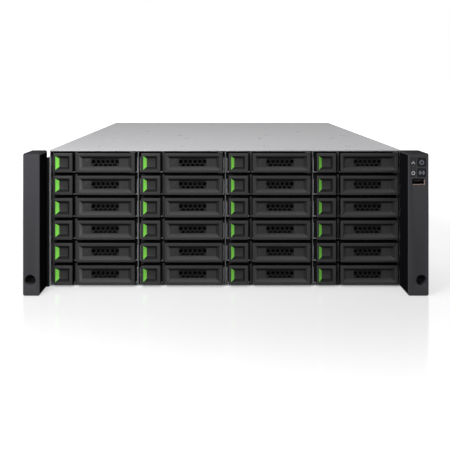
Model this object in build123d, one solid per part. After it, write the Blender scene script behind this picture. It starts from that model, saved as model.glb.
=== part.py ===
from build123d import *
import os

# Rackmount storage server, 4 rack units tall, with 24 drive trays across its front.
# Millimetres. X runs across the front, Y from the front to the rear, Z is up.
# The origin is the centre of the bounding box at the level of the base.

# Sheet metal of the chassis
sheet = 1.2
cover_sheet = 1.5
cage_wall = 1.2
cage_top = 0.8
chassis_depth = 515.0
cover_seam_gap = 0.6
cover_seam_inset = 23.0
lip_width = 12.0
lip_sheet = 1.0

# Drive bays
columns = 4
rows = 6
rows_above_shelf = 3
column_pitch = 108.6
row_pitch = 27.75
ledge_reach = 1.6
ledge_sheet = 1.0
cage_setback = 14.0
bottom_ledge = 0.75
drive_headroom = 0.35
slide_gap = 0.1

# One drive of the 3.5 inch form and its carrier
drive_width = 101.6
drive_length = 147.0
drive_height = 25.4
drive_setback = 22.0
carrier_floor = 0.8
carrier_wall = 1.1
carrier_edge_play = 0.5
carrier_side_rise = 6.0
carrier_overrun = 2.4

# Tray face: release button at the left, handle at the right
face_height = 23.7
face_reach = 6.5
face_margin_left = 3.7
face_margin_right = 2.6
button_width = 23.8
button_thickness = 8.0
button_travel = 2.5
button_stem = 8.0
button_play = 0.25
button_pocket_width = 17.2
button_pocket_height = 16.6
button_pocket_depth = 4.0
button_floor_width = 10.6
button_floor_height = 10.2
button_pocket_offset = 2.7
button_floor_offset = 3.9
post_gap = 2.1
post_width = 2.9
post_setback = 6.0
post_overrun = 1.0
handle_gap = 0.5
handle_thickness = 9.0
handle_corner = 1.0
handle_heel = 2.0
handle_pocket_left = 3.3
handle_pocket_right = 4.2
handle_pocket_height = 16.6
handle_pocket_depth = 4.0
handle_slope_left = 3.5
handle_slope_right = 4.5
handle_floor_height = 10.0
window_left = 10.3
window_width = 34.3
window_height = 9.8
pivot_inset = 3.6
pivot_pin_radius = 1.2
pivot_play = 0.08
lug_width = 6.0
lug_height = 0.8
lug_play = 0.25
lug_setback = 0.6
button_rear_gap = 1.5
bezel_wall = 2.0
bezel_side_margin = 1.7
hex_width = 4.2
hex_pitch = 5.8
hex_count = 6
hex_row_offset = 0.2

# Rack ears
ear_flange = 22.3
rack_hole_inset = 8.75
rack_hole_height = 18.5
rack_hole_radius = 3.5
ear_reach = 36.0
ear_wall = 2.0
ear_edge_radius = 1.2
left_ear_width = 19.9
right_ear_width = 24.6
access_radius = 6.5
access_wall = 1.5
bracket_sheet = 2.0
bracket_setback = 0.5
bracket_leg = 45.0
bracket_top_gap = 9.0

# Control panel in the right ear, measured from the top and from the outer edge
control_top = 5.8
light_strip_inset = 15.5
light_strip_width = 5.7
light_strip_height = 22.1
light_strip_recess = 0.8
control_play = 0.25
key_inset = 3.4
key_width = 10.1
key_height = 9.7
key_spacing = 12.5
key_cap = 3.0
key_stem = 4.0
key_travel = 1.2
key_stem_length = 9.0
switch_width = 6.0
switch_height = 3.0
board_sheet = 1.6
board_drop = 38.5
usb_width = 14.7
usb_height = 6.9
usb_inset = 4.8
usb_drop = 30.5
usb_depth = 14.0
usb_shell = 0.5
usb_tongue_width = 10.6
usb_tongue_height = 1.9
usb_tongue_recess = 2.0

# Midplane board between the drives and the rear modules
midplane_sheet = 2.4
midplane_side_gap = 0.6
midplane_base_gap = 0.6
midplane_slot_width = 70.0
midplane_slot_height = 9.0
drive_plug_width = 45.0
drive_plug_height = 6.0
drive_plug_length = 6.7
plug_gap = 0.3
module_plug_width = 60.0
module_plug_height = 12.0
module_plug_length = 6.3

# Rear bays: one wide bay below, four equal bays above
lower_bay_height = 80.0
frame_wall = 1.2
frame_front_gap = 4.0
frame_rear_inset = 2.0
beam_gap = 1.6
beam_depth = 50.0
upper_bays = 4
module_play = 0.2
module_side_play = 0.3

# Controller canister
canister_side_rise = 40.0
canister_sheet = 1.2
canister_panel = 1.5
panel_slot_width = 8.0
panel_slot_height = 24.0
panel_slot_pitch = 16.0
panel_slot_count = 5
panel_slot_start = 60.0
panel_slot_z = 46.0
standoff_height = 6.0
standoff_width = 6.0
mainboard_width = 300.0
mainboard_front_gap = 36.0
mainboard_panel_gap = 4.0
heatsink_size = 90.0
heatsink_base = 6.0
heatsink_height = 38.0
heatsink_fins = 10
heatsink_fin_sheet = 1.5
memory_count = 4
memory_pitch = 10.0
memory_length = 133.4
memory_height = 30.0
memory_sheet = 1.3
memory_socket_width = 6.5
memory_socket_height = 6.0
memory_socket_end = 4.0
jack_count = 4
jack_pitch = 18.0
jack_width = 16.0
jack_height = 13.5
jack_depth = 21.0
jack_mouth_width = 12.0
jack_mouth_height = 8.5
jack_mouth_depth = 14.0
jack_start = -120.0
port_play = 0.4
usb_pair_x = -30.0
usb_pair_height = 15.6

# Canister levers
lever_lug = 1.2
lever_length = 70.0
lever_height = 10.0
lever_thickness = 5.0
lever_gap = 0.8
lever_lug_half = 5.0
lever_heel = 2.5
lever_corner = 1.0
lever_edge_inset = 6.0
lever_z = 20.0
lever_grip_rise = 4.0

# Power supply modules
psu_case_wall = 1.0
psu_nose_depth = 20.0
inlet_width = 24.0
inlet_height = 16.5
inlet_depth = 15.0
inlet_x = -30.0
inlet_z = -22.0
inlet_pin_width = 4.0
inlet_pin_height = 2.0
inlet_pin_length = 9.0
inlet_pin_spacing = 7.0
inlet_earth_rise = 4.0
psu_vent_radius = 28.0
psu_vent_x = 15.0
psu_vent_z = 8.0
psu_vent_depth = 6.0
grip_width = 34.0
grip_height = 12.0
grip_reach = 24.0
grip_strap = 3.0
grip_x = -30.0
grip_z = 22.0
latch_x = 48.0
latch_z = -22.0
latch_width = 8.0
latch_height = 26.0
latch_reach = 9.0
latch_depth = 8.0
latch_play = 0.3
latch_travel = 3.0

# Fan modules
fan_module_depth = 60.0
fan_bore_radius = 39.0
fan_hub_radius = 15.0
fan_hub_length = 28.0
fan_blade_count = 5
fan_blade_tip = 37.5
fan_blade_angle = 38.0
fan_blade_chord = 26.0
fan_blade_sheet = 1.8
fan_shaft_radius = 2.0
fan_shaft_play = 0.06
fan_bridge_width = 16.0
fan_bridge_depth = 4.0
fan_slot_count = 7
fan_slot_margin = 4.0
fan_slot_bar = 3.0
fan_grille_sheet = 2.0
fan_running_gap = 0.6

# Levels and planes worked out from the sizes above
carrier_drop = drive_height / 2 + carrier_floor
bottom_row_z = sheet + bottom_ledge + carrier_drop
top_row_z = bottom_row_z + (rows - 1) * row_pitch
cage_ceiling_z = top_row_z + drive_height / 2 + drive_headroom
wall_top_z = cage_ceiling_z + cage_top
overall_height = wall_top_z + cover_sheet
cage_width = columns * column_pitch + cage_wall
chassis_width = cage_width + 2 * sheet
inner_half = cage_width / 2
rack_width = chassis_width + 2 * ear_flange
rack_hole_spacing = rack_width - 2 * rack_hole_inset
pivot_radius = pivot_pin_radius + pivot_play
lever_reach = lever_gap + lever_thickness + lever_grip_rise / 4
rear_reach = max(lever_reach, grip_reach)
front_y = ear_reach - (ear_reach + chassis_depth + rear_reach) / 2
ear_front_y = front_y - ear_reach
rear_y = front_y + chassis_depth
drive_rear_y = front_y + drive_setback + drive_length
midplane_y = drive_rear_y + plug_gap + drive_plug_length
midplane_rear_y = midplane_y + midplane_sheet
module_plug_y = midplane_rear_y + module_plug_length
module_depth = rear_y - module_plug_y - plug_gap
beam_y = midplane_rear_y + beam_gap
seam_y = beam_y + cover_seam_inset
cage_front_y = front_y + cage_setback
shelf_z = sheet + lower_bay_height
upper_floor_z = shelf_z + frame_wall
upper_ceiling_z = wall_top_z - lip_sheet
upper_bay_pitch = (2 * inner_half + frame_wall) / upper_bays
upper_module_width = upper_bay_pitch - frame_wall - 2 * module_side_play
upper_module_floor_z = upper_floor_z + module_play
upper_module_height = upper_ceiling_z - upper_floor_z - 2 * module_play
upper_module_z = upper_module_floor_z + upper_module_height / 2


def row_z(row):
    """Height of the middle of a row, counted from the top."""
    return top_row_z - row * row_pitch


def column_x(column):
    """Middle of a column, counted from the left."""
    return (column - (columns - 1) / 2) * column_pitch


def upper_bay_x(bay):
    """Middle of one of the upper rear bays, counted from the left of the front."""
    return (bay - (upper_bays - 1) / 2) * upper_bay_pitch


def block(x0, x1, y0, y1, z0, z1):
    """A block between two opposite corners."""
    return Pos(x0, y0, z0) * Box(x1 - x0, y1 - y0, z1 - z0, align=(Align.MIN, Align.MIN, Align.MIN))


def centred_block(x, y0, y1, z, width, height):
    """A block along Y, centred on x and z."""
    return block(x - width / 2, x + width / 2, y0, y1, z - height / 2, z + height / 2)


def along_x(points, x0, x1):
    """A profile of (y, z) points drawn out along X."""
    plane = Plane((x0, 0, 0), x_dir=(0, 1, 0), z_dir=(1, 0, 0))
    return extrude(plane * Polygon(*points, align=None), amount=x1 - x0)


def along_y(points, y0, y1):
    """A profile of (x, z) points drawn out along Y."""
    plane = Plane((0, y0, 0), x_dir=(1, 0, 0), z_dir=(0, -1, 0))
    return extrude(plane * Polygon(*points, align=None), amount=y0 - y1)


def along_z(points, z0, z1):
    """A profile of (x, y) points drawn out along Z."""
    return extrude(Plane((0, 0, z0)) * Polygon(*points, align=None), amount=z1 - z0)


def rod_y(x, z, radius, y0, y1):
    """A round bar along Y."""
    return Pos(x, (y0 + y1) / 2, z) * Rot(90, 0, 0) * Cylinder(radius, abs(y1 - y0))


def rod_z(x, y, radius, z0, z1):
    """A round bar along Z."""
    return Pos(x, y, (z0 + z1) / 2) * Cylinder(radius, abs(z1 - z0))


def funnel(x0, y0, width, height, slope_left, floor_width, floor_height, depth):
    """A pocket cutter with sloping flat sides, wide at the front and centred on z = 0."""
    floor_z = (height - floor_height) / 2
    cutter = Wedge(
        width,
        depth,
        height,
        slope_left,
        floor_z,
        slope_left + floor_width,
        floor_z + floor_height,
        align=(Align.MIN, Align.MIN, Align.MIN),
    )
    return Pos(x0, y0, -height / 2) * cutter


def mirrored(shape):
    """The same shape on the other side of the middle plane."""
    return mirror(shape, about=Plane.YZ)


# Chassis and covers


def chassis_tub():
    """Base and side walls folded from one sheet, with top lips along the rear section."""
    half = chassis_width / 2
    channel = [
        (-half, 0),
        (half, 0),
        (half, wall_top_z),
        (inner_half, wall_top_z),
        (inner_half, sheet),
        (-inner_half, sheet),
        (-inner_half, wall_top_z),
        (-half, wall_top_z),
    ]
    tub = along_y(channel, front_y, rear_y)
    lip_front_y = beam_y + beam_depth
    lip = block(inner_half - lip_width, inner_half, lip_front_y, rear_y, wall_top_z - lip_sheet, wall_top_z)
    return [tub + lip + mirrored(lip)]


def cover(y0, y1):
    """One flat section of the top."""
    half = chassis_width / 2
    return [block(-half, half, y0, y1, wall_top_z, overall_height)]


# Drive cage


def cage_upright(x, z0, z1, seats, sides):
    """A wall of the cage with ledges on the stated sides; a wall between two bays starts at the front."""
    half = cage_wall / 2
    outline = {}
    for side in (-1, 1):
        wall = side * half
        edge = [(x + wall, z0)]
        for seat in seats if side in sides else ():
            under = max(seat - ledge_sheet, z0)
            tip = wall + side * ledge_reach
            ledge = [(x + wall, under), (x + tip, under), (x + tip, seat), (x + wall, seat)]
            edge += ledge[1:] if under == z0 else ledge
        if len(edge) > 1 and edge[1][1] == z0:
            edge = edge[1:]
        edge.append((x + wall, z1))
        outline[side] = edge
    wall = along_y(outline[1] + outline[-1][::-1], cage_front_y, midplane_y)
    if len(sides) < 2:
        return wall
    return wall + block(x - half, x + half, front_y, cage_front_y, z0, z1)


def cage_shelf_z():
    """Top of the shelf between the two blocks of bays."""
    return row_z(rows_above_shelf - 1) - carrier_drop


def drive_cage():
    """Uprights with ledges, the shelf between the blocks and the top plate."""
    shelf_top = cage_shelf_z()
    shelf_bottom = shelf_top - cage_wall
    upper = sorted(row_z(r) - carrier_drop for r in range(rows_above_shelf - 1))
    lower = sorted(row_z(r) - carrier_drop for r in range(rows_above_shelf, rows))
    solids = []
    for wall in range(columns + 1):
        x = (wall - columns / 2) * column_pitch
        sides = [s for s in (-1, 1) if abs(x + s * column_pitch / 2) < inner_half]
        solids.append(cage_upright(x, shelf_top, cage_ceiling_z, upper, sides))
        solids.append(cage_upright(x, sheet, shelf_bottom, lower, sides))
    for z0, z1 in ((shelf_bottom, shelf_top), (cage_ceiling_z, wall_top_z)):
        solids.append(block(-inner_half, inner_half, cage_front_y, midplane_y, z0, z1))
    return solids


# Drive trays, drawn about the middle of a bay with y = 0 at the front of the chassis

bay_half = (column_pitch - cage_wall) / 2
face_y = -face_reach
bezel_wall_y = face_y + button_thickness + button_travel + button_rear_gap
button_left = -bay_half + face_margin_left
post_left = button_left + button_width + post_gap
handle_left = post_left + post_width + handle_gap
handle_right = bay_half - face_margin_right
handle_width = handle_right - handle_left
button_middle = button_left + button_pocket_offset + button_floor_offset + button_floor_width / 2
pivot_x = handle_right - pivot_inset
pivot_y = face_y + handle_thickness / 2
lug_z = face_height / 2 + lug_play
handle_pocket_x = handle_left + handle_pocket_left
handle_floor_x = handle_pocket_x + handle_slope_left
window_x = handle_floor_x + window_left


def release_button():
    """Finger button with a funnel-shaped pocket and a square stem that guides it."""
    back = face_y + button_thickness
    button = block(button_left, button_left + button_width, face_y, back, -face_height / 2, face_height / 2)
    pocket = funnel(
        button_left + button_pocket_offset,
        face_y,
        button_pocket_width,
        button_pocket_height,
        button_floor_offset,
        button_floor_width,
        button_floor_height,
        button_pocket_depth,
    )
    stem_end = bezel_wall_y + bezel_wall
    stem = centred_block(button_middle, back, stem_end, 0, button_stem, button_stem)
    return button - pocket + stem


def tray_handle(with_pivot):
    """Swinging handle: a pocket with sloping sides and a window onto the grille."""
    front = face_y
    back = face_y + handle_thickness
    outline = [
        (handle_left + handle_corner, front),
        (handle_right - handle_heel, front),
        (handle_right, front + handle_heel),
        (handle_right, back - handle_corner),
        (handle_right - handle_corner, back),
        (handle_left, back),
        (handle_left, front + handle_corner),
    ]
    bar = along_z(outline, -face_height / 2, face_height / 2)
    floor_width = handle_width - handle_pocket_left - handle_pocket_right - handle_slope_left - handle_slope_right
    bar = bar - funnel(
        handle_pocket_x,
        front,
        handle_width - handle_pocket_left - handle_pocket_right,
        handle_pocket_height,
        handle_slope_left,
        floor_width,
        handle_floor_height,
        handle_pocket_depth,
    )
    floor_y = front + handle_pocket_depth
    window = block(window_x, window_x + window_width, floor_y - 1, back + 1, -window_height / 2, window_height / 2)
    bar = bar - window
    if with_pivot:
        bar = bar - rod_z(pivot_x, pivot_y, pivot_radius, -face_height, face_height)
    return bar


def grille_holes():
    """Hexagonal holes of the air grille behind the handle's window, as one cutter list."""
    middle = window_x + window_width / 2
    hexagon = RegularPolygon(hex_width / 2, 6, major_radius=False, rotation=30)
    plane = Plane((0, bezel_wall_y - 1, 0), x_dir=(1, 0, 0), z_dir=(0, -1, 0))
    holes = []
    for place in range(hex_count):
        x = middle + (place - (hex_count - 1) / 2) * hex_pitch
        holes.append(extrude(plane * Pos(x, hex_row_offset) * hexagon, amount=-(bezel_wall + 2)))
    return holes


def grille_slot():
    """One plain air slot, as long and high as the row of holes."""
    middle = window_x + window_width / 2
    length = (hex_count - 1) * hex_pitch + hex_width
    y0, y1 = bezel_wall_y - 1, bezel_wall_y + bezel_wall + 1
    return centred_block(middle, y0, y1, hex_row_offset, length, hex_width)


def tray_bezel(with_pivot):
    """Fixed front of the tray: rear wall with the grille, catch post, and lugs with the hinge pin."""
    y0 = bezel_wall_y
    y1 = y0 + bezel_wall
    side = bay_half - bezel_side_margin
    bezel = block(-side, side, y0, y1, -face_height / 2, face_height / 2)
    post_half = face_height / 2 + post_overrun
    bezel = bezel + block(post_left, post_left + post_width, face_y + post_setback, y1, -post_half, post_half)
    if with_pivot:
        lug_left = handle_right - lug_width
        lug_outer = lug_z + lug_height
        lugs = block(lug_left, handle_right, face_y + lug_setback, y1, -lug_outer, lug_outer)
        bezel = bezel + (lugs - block(lug_left - 1, handle_right + 1, face_y, y0, -lug_z, lug_z))
        bezel = bezel + rod_z(pivot_x, pivot_y, pivot_pin_radius, -lug_z, lug_z)
    stem_hole = button_stem + 2 * button_play
    bezel = bezel - centred_block(button_middle, y0 - 1, y1 + 1, 0, stem_hole, stem_hole)
    return bezel - (grille_holes() if with_pivot else grille_slot())


def drive_carrier():
    """Sheet carrier: a floor that rides on the ledges and two low sides beside the drive."""
    floor_bottom = -carrier_drop + slide_gap
    floor_top = -drive_height / 2
    outer = bay_half - carrier_edge_play
    inner = outer - carrier_wall
    half = [
        (outer, floor_bottom),
        (outer, carrier_side_rise),
        (inner, carrier_side_rise),
        (inner, floor_top),
    ]
    outline = half + [(-x, z) for x, z in reversed(half)]
    rear = drive_setback + drive_length + carrier_overrun
    return along_y(outline, bezel_wall_y + bezel_wall, rear)


def hard_drive():
    """The drive itself."""
    return centred_block(0, drive_setback, drive_setback + drive_length, 0, drive_width, drive_height)


def tray_parts():
    """Each kind of tray solid once: the fixed ones, and the moving ones with and without a pivot."""
    fixed = [drive_carrier(), hard_drive()]
    return {
        "top": [tray_bezel(True)] + fixed,
        "other": [tray_bezel(False)] + fixed + [release_button(), tray_handle(False)],
        "button": [release_button()],
        "handle": [tray_handle(True)],
    }


def placed(solids, row, column):
    """Solids drawn about a bay, moved to one bay."""
    return [Pos(column_x(column), front_y, row_z(row)) * solid for solid in solids]


# Rack ears


def ear_bounds(side):
    """Inner and outer x of one ear's moulded cover."""
    width = right_ear_width if side > 0 else left_ear_width
    outer = side * rack_width / 2
    return outer - side * width, outer


def ear_shell(side):
    """Moulded cover of one ear: open at the back, with a bored boss at its foot for the rack screw."""
    inner, outer = ear_bounds(side)
    x0, x1 = min(inner, outer), max(inner, outer)
    y0, y1 = ear_front_y, front_y - bracket_setback - bracket_sheet
    shell = block(x0, x1, y0, y1, 0, overall_height)
    front_edges = shell.faces().sort_by(Axis.Y)[0].edges()
    shell = fillet(front_edges, ear_edge_radius)
    shell = shell - block(x0 + ear_wall, x1 - ear_wall, y0 + ear_wall, y1 + 1, ear_wall, overall_height - ear_wall)
    x = side * rack_hole_spacing / 2
    top = rack_hole_height + access_radius + access_wall
    boss = block(x0 + ear_wall / 2, x1 - ear_wall / 2, y0 + ear_wall / 2, y1, ear_wall / 2, top)
    return shell + boss - rod_y(x, rack_hole_height, access_radius, y0 - 1, y1 + 1)


def left_ear_cover():
    """Plain cover of the left ear."""
    return [ear_shell(-1)]


right_edge = rack_width / 2
key_x = right_edge - key_inset - key_width / 2
key_top_z = overall_height - control_top - key_height / 2
strip_x = right_edge - light_strip_inset - light_strip_width / 2
strip_z = overall_height - control_top - light_strip_height / 2
usb_x = right_edge - usb_inset - usb_width / 2
usb_z = overall_height - usb_drop - usb_height / 2
board_y = ear_front_y + key_cap + key_stem_length + key_travel + switch_height


def key_z(index):
    """Height of one of the two keys, counted from the top."""
    return key_top_z - index * key_spacing


def right_ear_cover():
    """Cover of the right ear, with the openings of the control panel."""
    shell = ear_shell(1)
    y0, y1 = ear_front_y - 1, ear_front_y + ear_wall + 1
    play = 2 * control_play
    shell = shell - centred_block(strip_x, y0, y1, strip_z, light_strip_width, light_strip_height)
    for index in range(2):
        shell = shell - centred_block(key_x, y0, y1, key_z(index), key_width + play, key_height + play)
    return [shell - centred_block(usb_x, y0, y1, usb_z, usb_width + play, usb_height + play)]


def panel_key(index):
    """One square key with the stem that reaches its switch."""
    cap = centred_block(key_x, ear_front_y, ear_front_y + key_cap, key_z(index), key_width, key_height)
    stem_end = ear_front_y + key_cap + key_stem_length
    stem = centred_block(key_x, ear_front_y + key_cap, stem_end, key_z(index), key_stem, key_stem)
    return [cap + stem]


def usb_socket(x, z, front, back):
    """Socket shell with its tongue, open to the front or to the rear."""
    way = 1 if back > front else -1
    lo, hi = min(front, back), max(front, back)
    shell = centred_block(x, lo, hi, z, usb_width, usb_height)
    mouth_end = back - way * usb_shell
    mouth_lo, mouth_hi = min(front - way, mouth_end), max(front - way, mouth_end)
    shell = shell - centred_block(x, mouth_lo, mouth_hi, z, usb_width - 2 * usb_shell, usb_height - 2 * usb_shell)
    tip = front + way * usb_tongue_recess
    tongue_lo, tongue_hi = min(tip, mouth_end), max(tip, mouth_end)
    return shell + centred_block(x, tongue_lo, tongue_hi, z, usb_tongue_width, usb_tongue_height)


def front_panel_board():
    """Board in the right ear with two switches and the light guide."""
    inner, outer = ear_bounds(1)
    x0, x1 = inner + ear_wall + control_play, outer - ear_wall - control_play
    top = overall_height - ear_wall - control_play
    board = block(x0, x1, board_y, board_y + board_sheet, overall_height - board_drop, top)
    solids = [board]
    for index in range(2):
        solids.append(centred_block(key_x, board_y - switch_height, board_y, key_z(index), switch_width, switch_width))
    strip_front = ear_front_y + light_strip_recess
    guide_width = light_strip_width - 2 * control_play
    guide_height = light_strip_height - 2 * control_play
    solids.append(centred_block(strip_x, strip_front, board_y, strip_z, guide_width, guide_height))
    return solids


def front_usb_port():
    """Socket of the control panel, standing on the board."""
    return [usb_socket(usb_x, usb_z, ear_front_y + light_strip_recess, board_y)]


def rack_brackets():
    """Steel angles behind the ear covers: a flange with the rack hole and a leg along the side."""
    y0 = front_y - bracket_setback - bracket_sheet
    y1 = y0 + bracket_sheet
    half = chassis_width / 2
    angle = [
        (half, y0),
        (rack_width / 2, y0),
        (rack_width / 2, y1),
        (half + bracket_sheet, y1),
        (half + bracket_sheet, front_y + bracket_leg),
        (half, front_y + bracket_leg),
    ]
    bracket = along_z(angle, 0, overall_height - bracket_top_gap)
    hole_x = rack_hole_spacing / 2
    bracket = bracket - rod_y(hole_x, rack_hole_height, rack_hole_radius, y0 - 1, y1 + 1)
    return [bracket, mirrored(bracket)]


# Midplane and rear bays


def midplane():
    """Vertical board with a plug for each drive and one for each rear module."""
    half = inner_half - midplane_side_gap
    top = cage_ceiling_z - midplane_base_gap
    board = block(-half, half, midplane_y, midplane_rear_y, sheet + midplane_base_gap, top)
    slot_z = row_z(rows_above_shelf) + row_pitch / 2
    for column in range(columns):
        x = column_x(column)
        board = board - centred_block(
            x, midplane_y - 1, midplane_rear_y + 1, slot_z, midplane_slot_width, midplane_slot_height
        )
    solids = [board]
    plug_front = midplane_y - drive_plug_length
    for row in range(rows):
        for column in range(columns):
            z = row_z(row) - drive_plug_height / 2
            x = column_x(column)
            solids.append(centred_block(x, plug_front, midplane_y, z, drive_plug_width, drive_plug_height))
    return solids


def rear_bay_frame():
    """Shelf and uprights that part the rear bays, and the beam under the seam of the covers."""
    y0 = midplane_rear_y + frame_front_gap
    y1 = rear_y - frame_rear_inset
    solids = [block(-inner_half, inner_half, y0, y1, shelf_z, upper_floor_z)]
    for wall in range(1, upper_bays):
        x = (wall - upper_bays / 2) * upper_bay_pitch
        solids.append(block(x - frame_wall / 2, x + frame_wall / 2, y0, y1, upper_floor_z, upper_ceiling_z))
    solids.append(block(-inner_half, inner_half, beam_y, beam_y + beam_depth, upper_ceiling_z, wall_top_z))
    plug_lo, plug_hi = midplane_rear_y, module_plug_y
    for bay in (0, upper_bays - 1):
        x = upper_bay_x(bay)
        solids.append(centred_block(x, plug_lo, plug_hi, upper_module_z, module_plug_width, module_plug_height))
    solids.append(centred_block(0, plug_lo, plug_hi, shelf_z / 2, module_plug_width * 2, module_plug_height))
    return solids


# Controller canister

canister_half = inner_half - module_side_play
canister_floor_z = sheet + module_play
canister_top_z = shelf_z - module_play
mainboard_z = canister_floor_z + canister_sheet + standoff_height
mainboard_top_z = mainboard_z + board_sheet
mainboard_rear_y = rear_y - mainboard_panel_gap
mainboard_depth = module_depth - mainboard_panel_gap - mainboard_front_gap
lever_pivot_x = canister_half - lever_edge_inset - lever_lug_half
lever_pivot_y = rear_y + lever_gap + lever_thickness / 2


def jack_x(index):
    """Middle of one network jack."""
    return jack_start + index * jack_pitch


def controller_case():
    """Canister tray with the rear panel, its port openings, air slots and lever lugs."""
    outer = canister_half
    inner = outer - canister_sheet
    rise = canister_floor_z + canister_side_rise
    floor_top = canister_floor_z + canister_sheet
    half = [(outer, canister_floor_z), (outer, rise), (inner, rise), (inner, floor_top)]
    outline = half + [(-x, z) for x, z in reversed(half)]
    case = along_y(outline, rear_y - module_depth, rear_y)
    panel = block(-outer, outer, rear_y - canister_panel, rear_y, canister_floor_z, canister_top_z)
    case = case + panel
    y0, y1 = rear_y - canister_panel - 1, rear_y + 1
    jacks_middle = (jack_x(0) + jack_x(jack_count - 1)) / 2
    jacks_width = (jack_count - 1) * jack_pitch + jack_width + 2 * port_play
    jack_z = mainboard_top_z + jack_height / 2
    case = case - centred_block(jacks_middle, y0, y1, jack_z, jacks_width, jack_height + 2 * port_play)
    pair_z = mainboard_top_z + usb_pair_height / 2
    pair_width = usb_width + 2 * port_play
    case = case - centred_block(usb_pair_x, y0, y1, pair_z, pair_width, usb_pair_height + 2 * port_play)
    for index in range(panel_slot_count):
        x = panel_slot_start + index * panel_slot_pitch
        for side in (-1, 1):
            slot = centred_block(side * x, y0, y1, canister_floor_z + panel_slot_z, panel_slot_width, panel_slot_height)
            case = case - slot
    lug_inner = lever_height / 2 + lug_play
    reach = lever_gap + lever_thickness
    for side in (-1, 1):
        x = side * lever_pivot_x
        lugs = centred_block(x, rear_y, rear_y + reach, lever_z, 2 * lever_lug_half, 2 * (lug_inner + lever_lug))
        lugs = lugs - centred_block(x, rear_y, rear_y + reach + 1, lever_z, 3 * lever_lug_half, 2 * lug_inner)
        case = case + lugs + rod_z(x, lever_pivot_y, pivot_pin_radius, lever_z - lug_inner, lever_z + lug_inner)
    for x in (-1, 0, 1):
        for y in (0, 1):
            px = x * (mainboard_width / 2 - standoff_width)
            py = mainboard_rear_y - standoff_width - y * (mainboard_depth - 2 * standoff_width)
            hexagon = Pos(px, py) * RegularPolygon(standoff_width / 2, 6)
            case = case + extrude(Plane((0, 0, floor_top)) * hexagon, amount=standoff_height)
    return [case]


def controller_lever(side):
    """Cam lever of the canister, with a raised grip at its free end."""
    x_pivot = side * lever_pivot_x
    x_outer = x_pivot + side * lever_heel
    x_inner = x_outer - side * lever_length
    y0 = rear_y + lever_gap
    y1 = y0 + lever_thickness
    grip = x_inner + side * lever_thickness * 2
    outline = [
        (x_outer - side * lever_corner, y0),
        (x_outer, y0 + lever_corner),
        (x_outer, y1 - lever_corner),
        (x_outer - side * lever_corner, y1),
        (grip, y1),
        (x_inner + side * lever_thickness, y1 + lever_grip_rise / 4),
        (x_inner, y1 + lever_grip_rise / 4),
        (x_inner, y0),
    ]
    z0, z1 = lever_z - lever_height / 2, lever_z + lever_height / 2
    lever = along_z(outline if side > 0 else outline[::-1], z0, z1)
    return [lever - rod_z(x_pivot, lever_pivot_y, pivot_radius, z0 - 1, z1 + 1)]


def mainboard():
    """Main circuit board on its standoffs."""
    x = mainboard_width / 2
    y1 = mainboard_rear_y
    board = block(-x, x, y1 - mainboard_depth, y1, mainboard_z, mainboard_top_z)
    return [board]


def heatsink_y():
    """Middle of the heatsink."""
    return mainboard_rear_y - mainboard_depth / 2


def cpu_heatsink():
    """Finned heatsink, drawn as one comb profile along the airflow."""
    half = heatsink_size / 2
    base_top = mainboard_top_z + heatsink_base
    top = mainboard_top_z + heatsink_height
    gap = (heatsink_size - heatsink_fins * heatsink_fin_sheet) / (heatsink_fins - 1)
    outline = [(-half, mainboard_top_z), (half, mainboard_top_z)]
    for fin in range(heatsink_fins):
        right = half - fin * (heatsink_fin_sheet + gap)
        left = right - heatsink_fin_sheet
        comb = [(right, base_top), (right, top), (left, top), (left, base_top)]
        if fin == 0:
            comb = comb[1:]
        if fin == heatsink_fins - 1:
            comb = comb[:-1]
        outline += comb
    y = heatsink_y()
    return [along_y(outline, y - half, y + half)]


def memory_modules():
    """Memory modules standing in their sockets, beside the processor."""
    solids = []
    y = heatsink_y()
    for side in (-1, 1):
        for index in range(memory_count // 2):
            x = side * (heatsink_size / 2 + memory_pitch * (index + 1))
            half = memory_length / 2
            socket_top = mainboard_top_z + memory_socket_height
            y0, y1 = y - half - memory_socket_end, y + half + memory_socket_end
            z = mainboard_top_z + memory_socket_height / 2
            solids.append(centred_block(x, y0, y1, z, memory_socket_width, memory_socket_height))
            z = socket_top + memory_height / 2
            solids.append(centred_block(x, y - half, y + half, z, memory_sheet, memory_height))
    return solids


def rear_ports():
    """Network jacks in a row and a stacked pair of sockets, standing on the main board."""
    solids = []
    for index in range(jack_count):
        x = jack_x(index)
        z = mainboard_top_z + jack_height / 2
        jack = centred_block(x, rear_y - jack_depth, rear_y, z, jack_width, jack_height)
        mouth = centred_block(
            x, rear_y - jack_mouth_depth, rear_y + 1, z, jack_mouth_width, jack_mouth_height
        )
        solids.append(jack - mouth)
    for level in range(2):
        z = mainboard_top_z + usb_height / 2 + level * (usb_pair_height - usb_height)
        solids.append(usb_socket(usb_pair_x, z, rear_y, rear_y - usb_depth))
    return solids


# Power supplies


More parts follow.
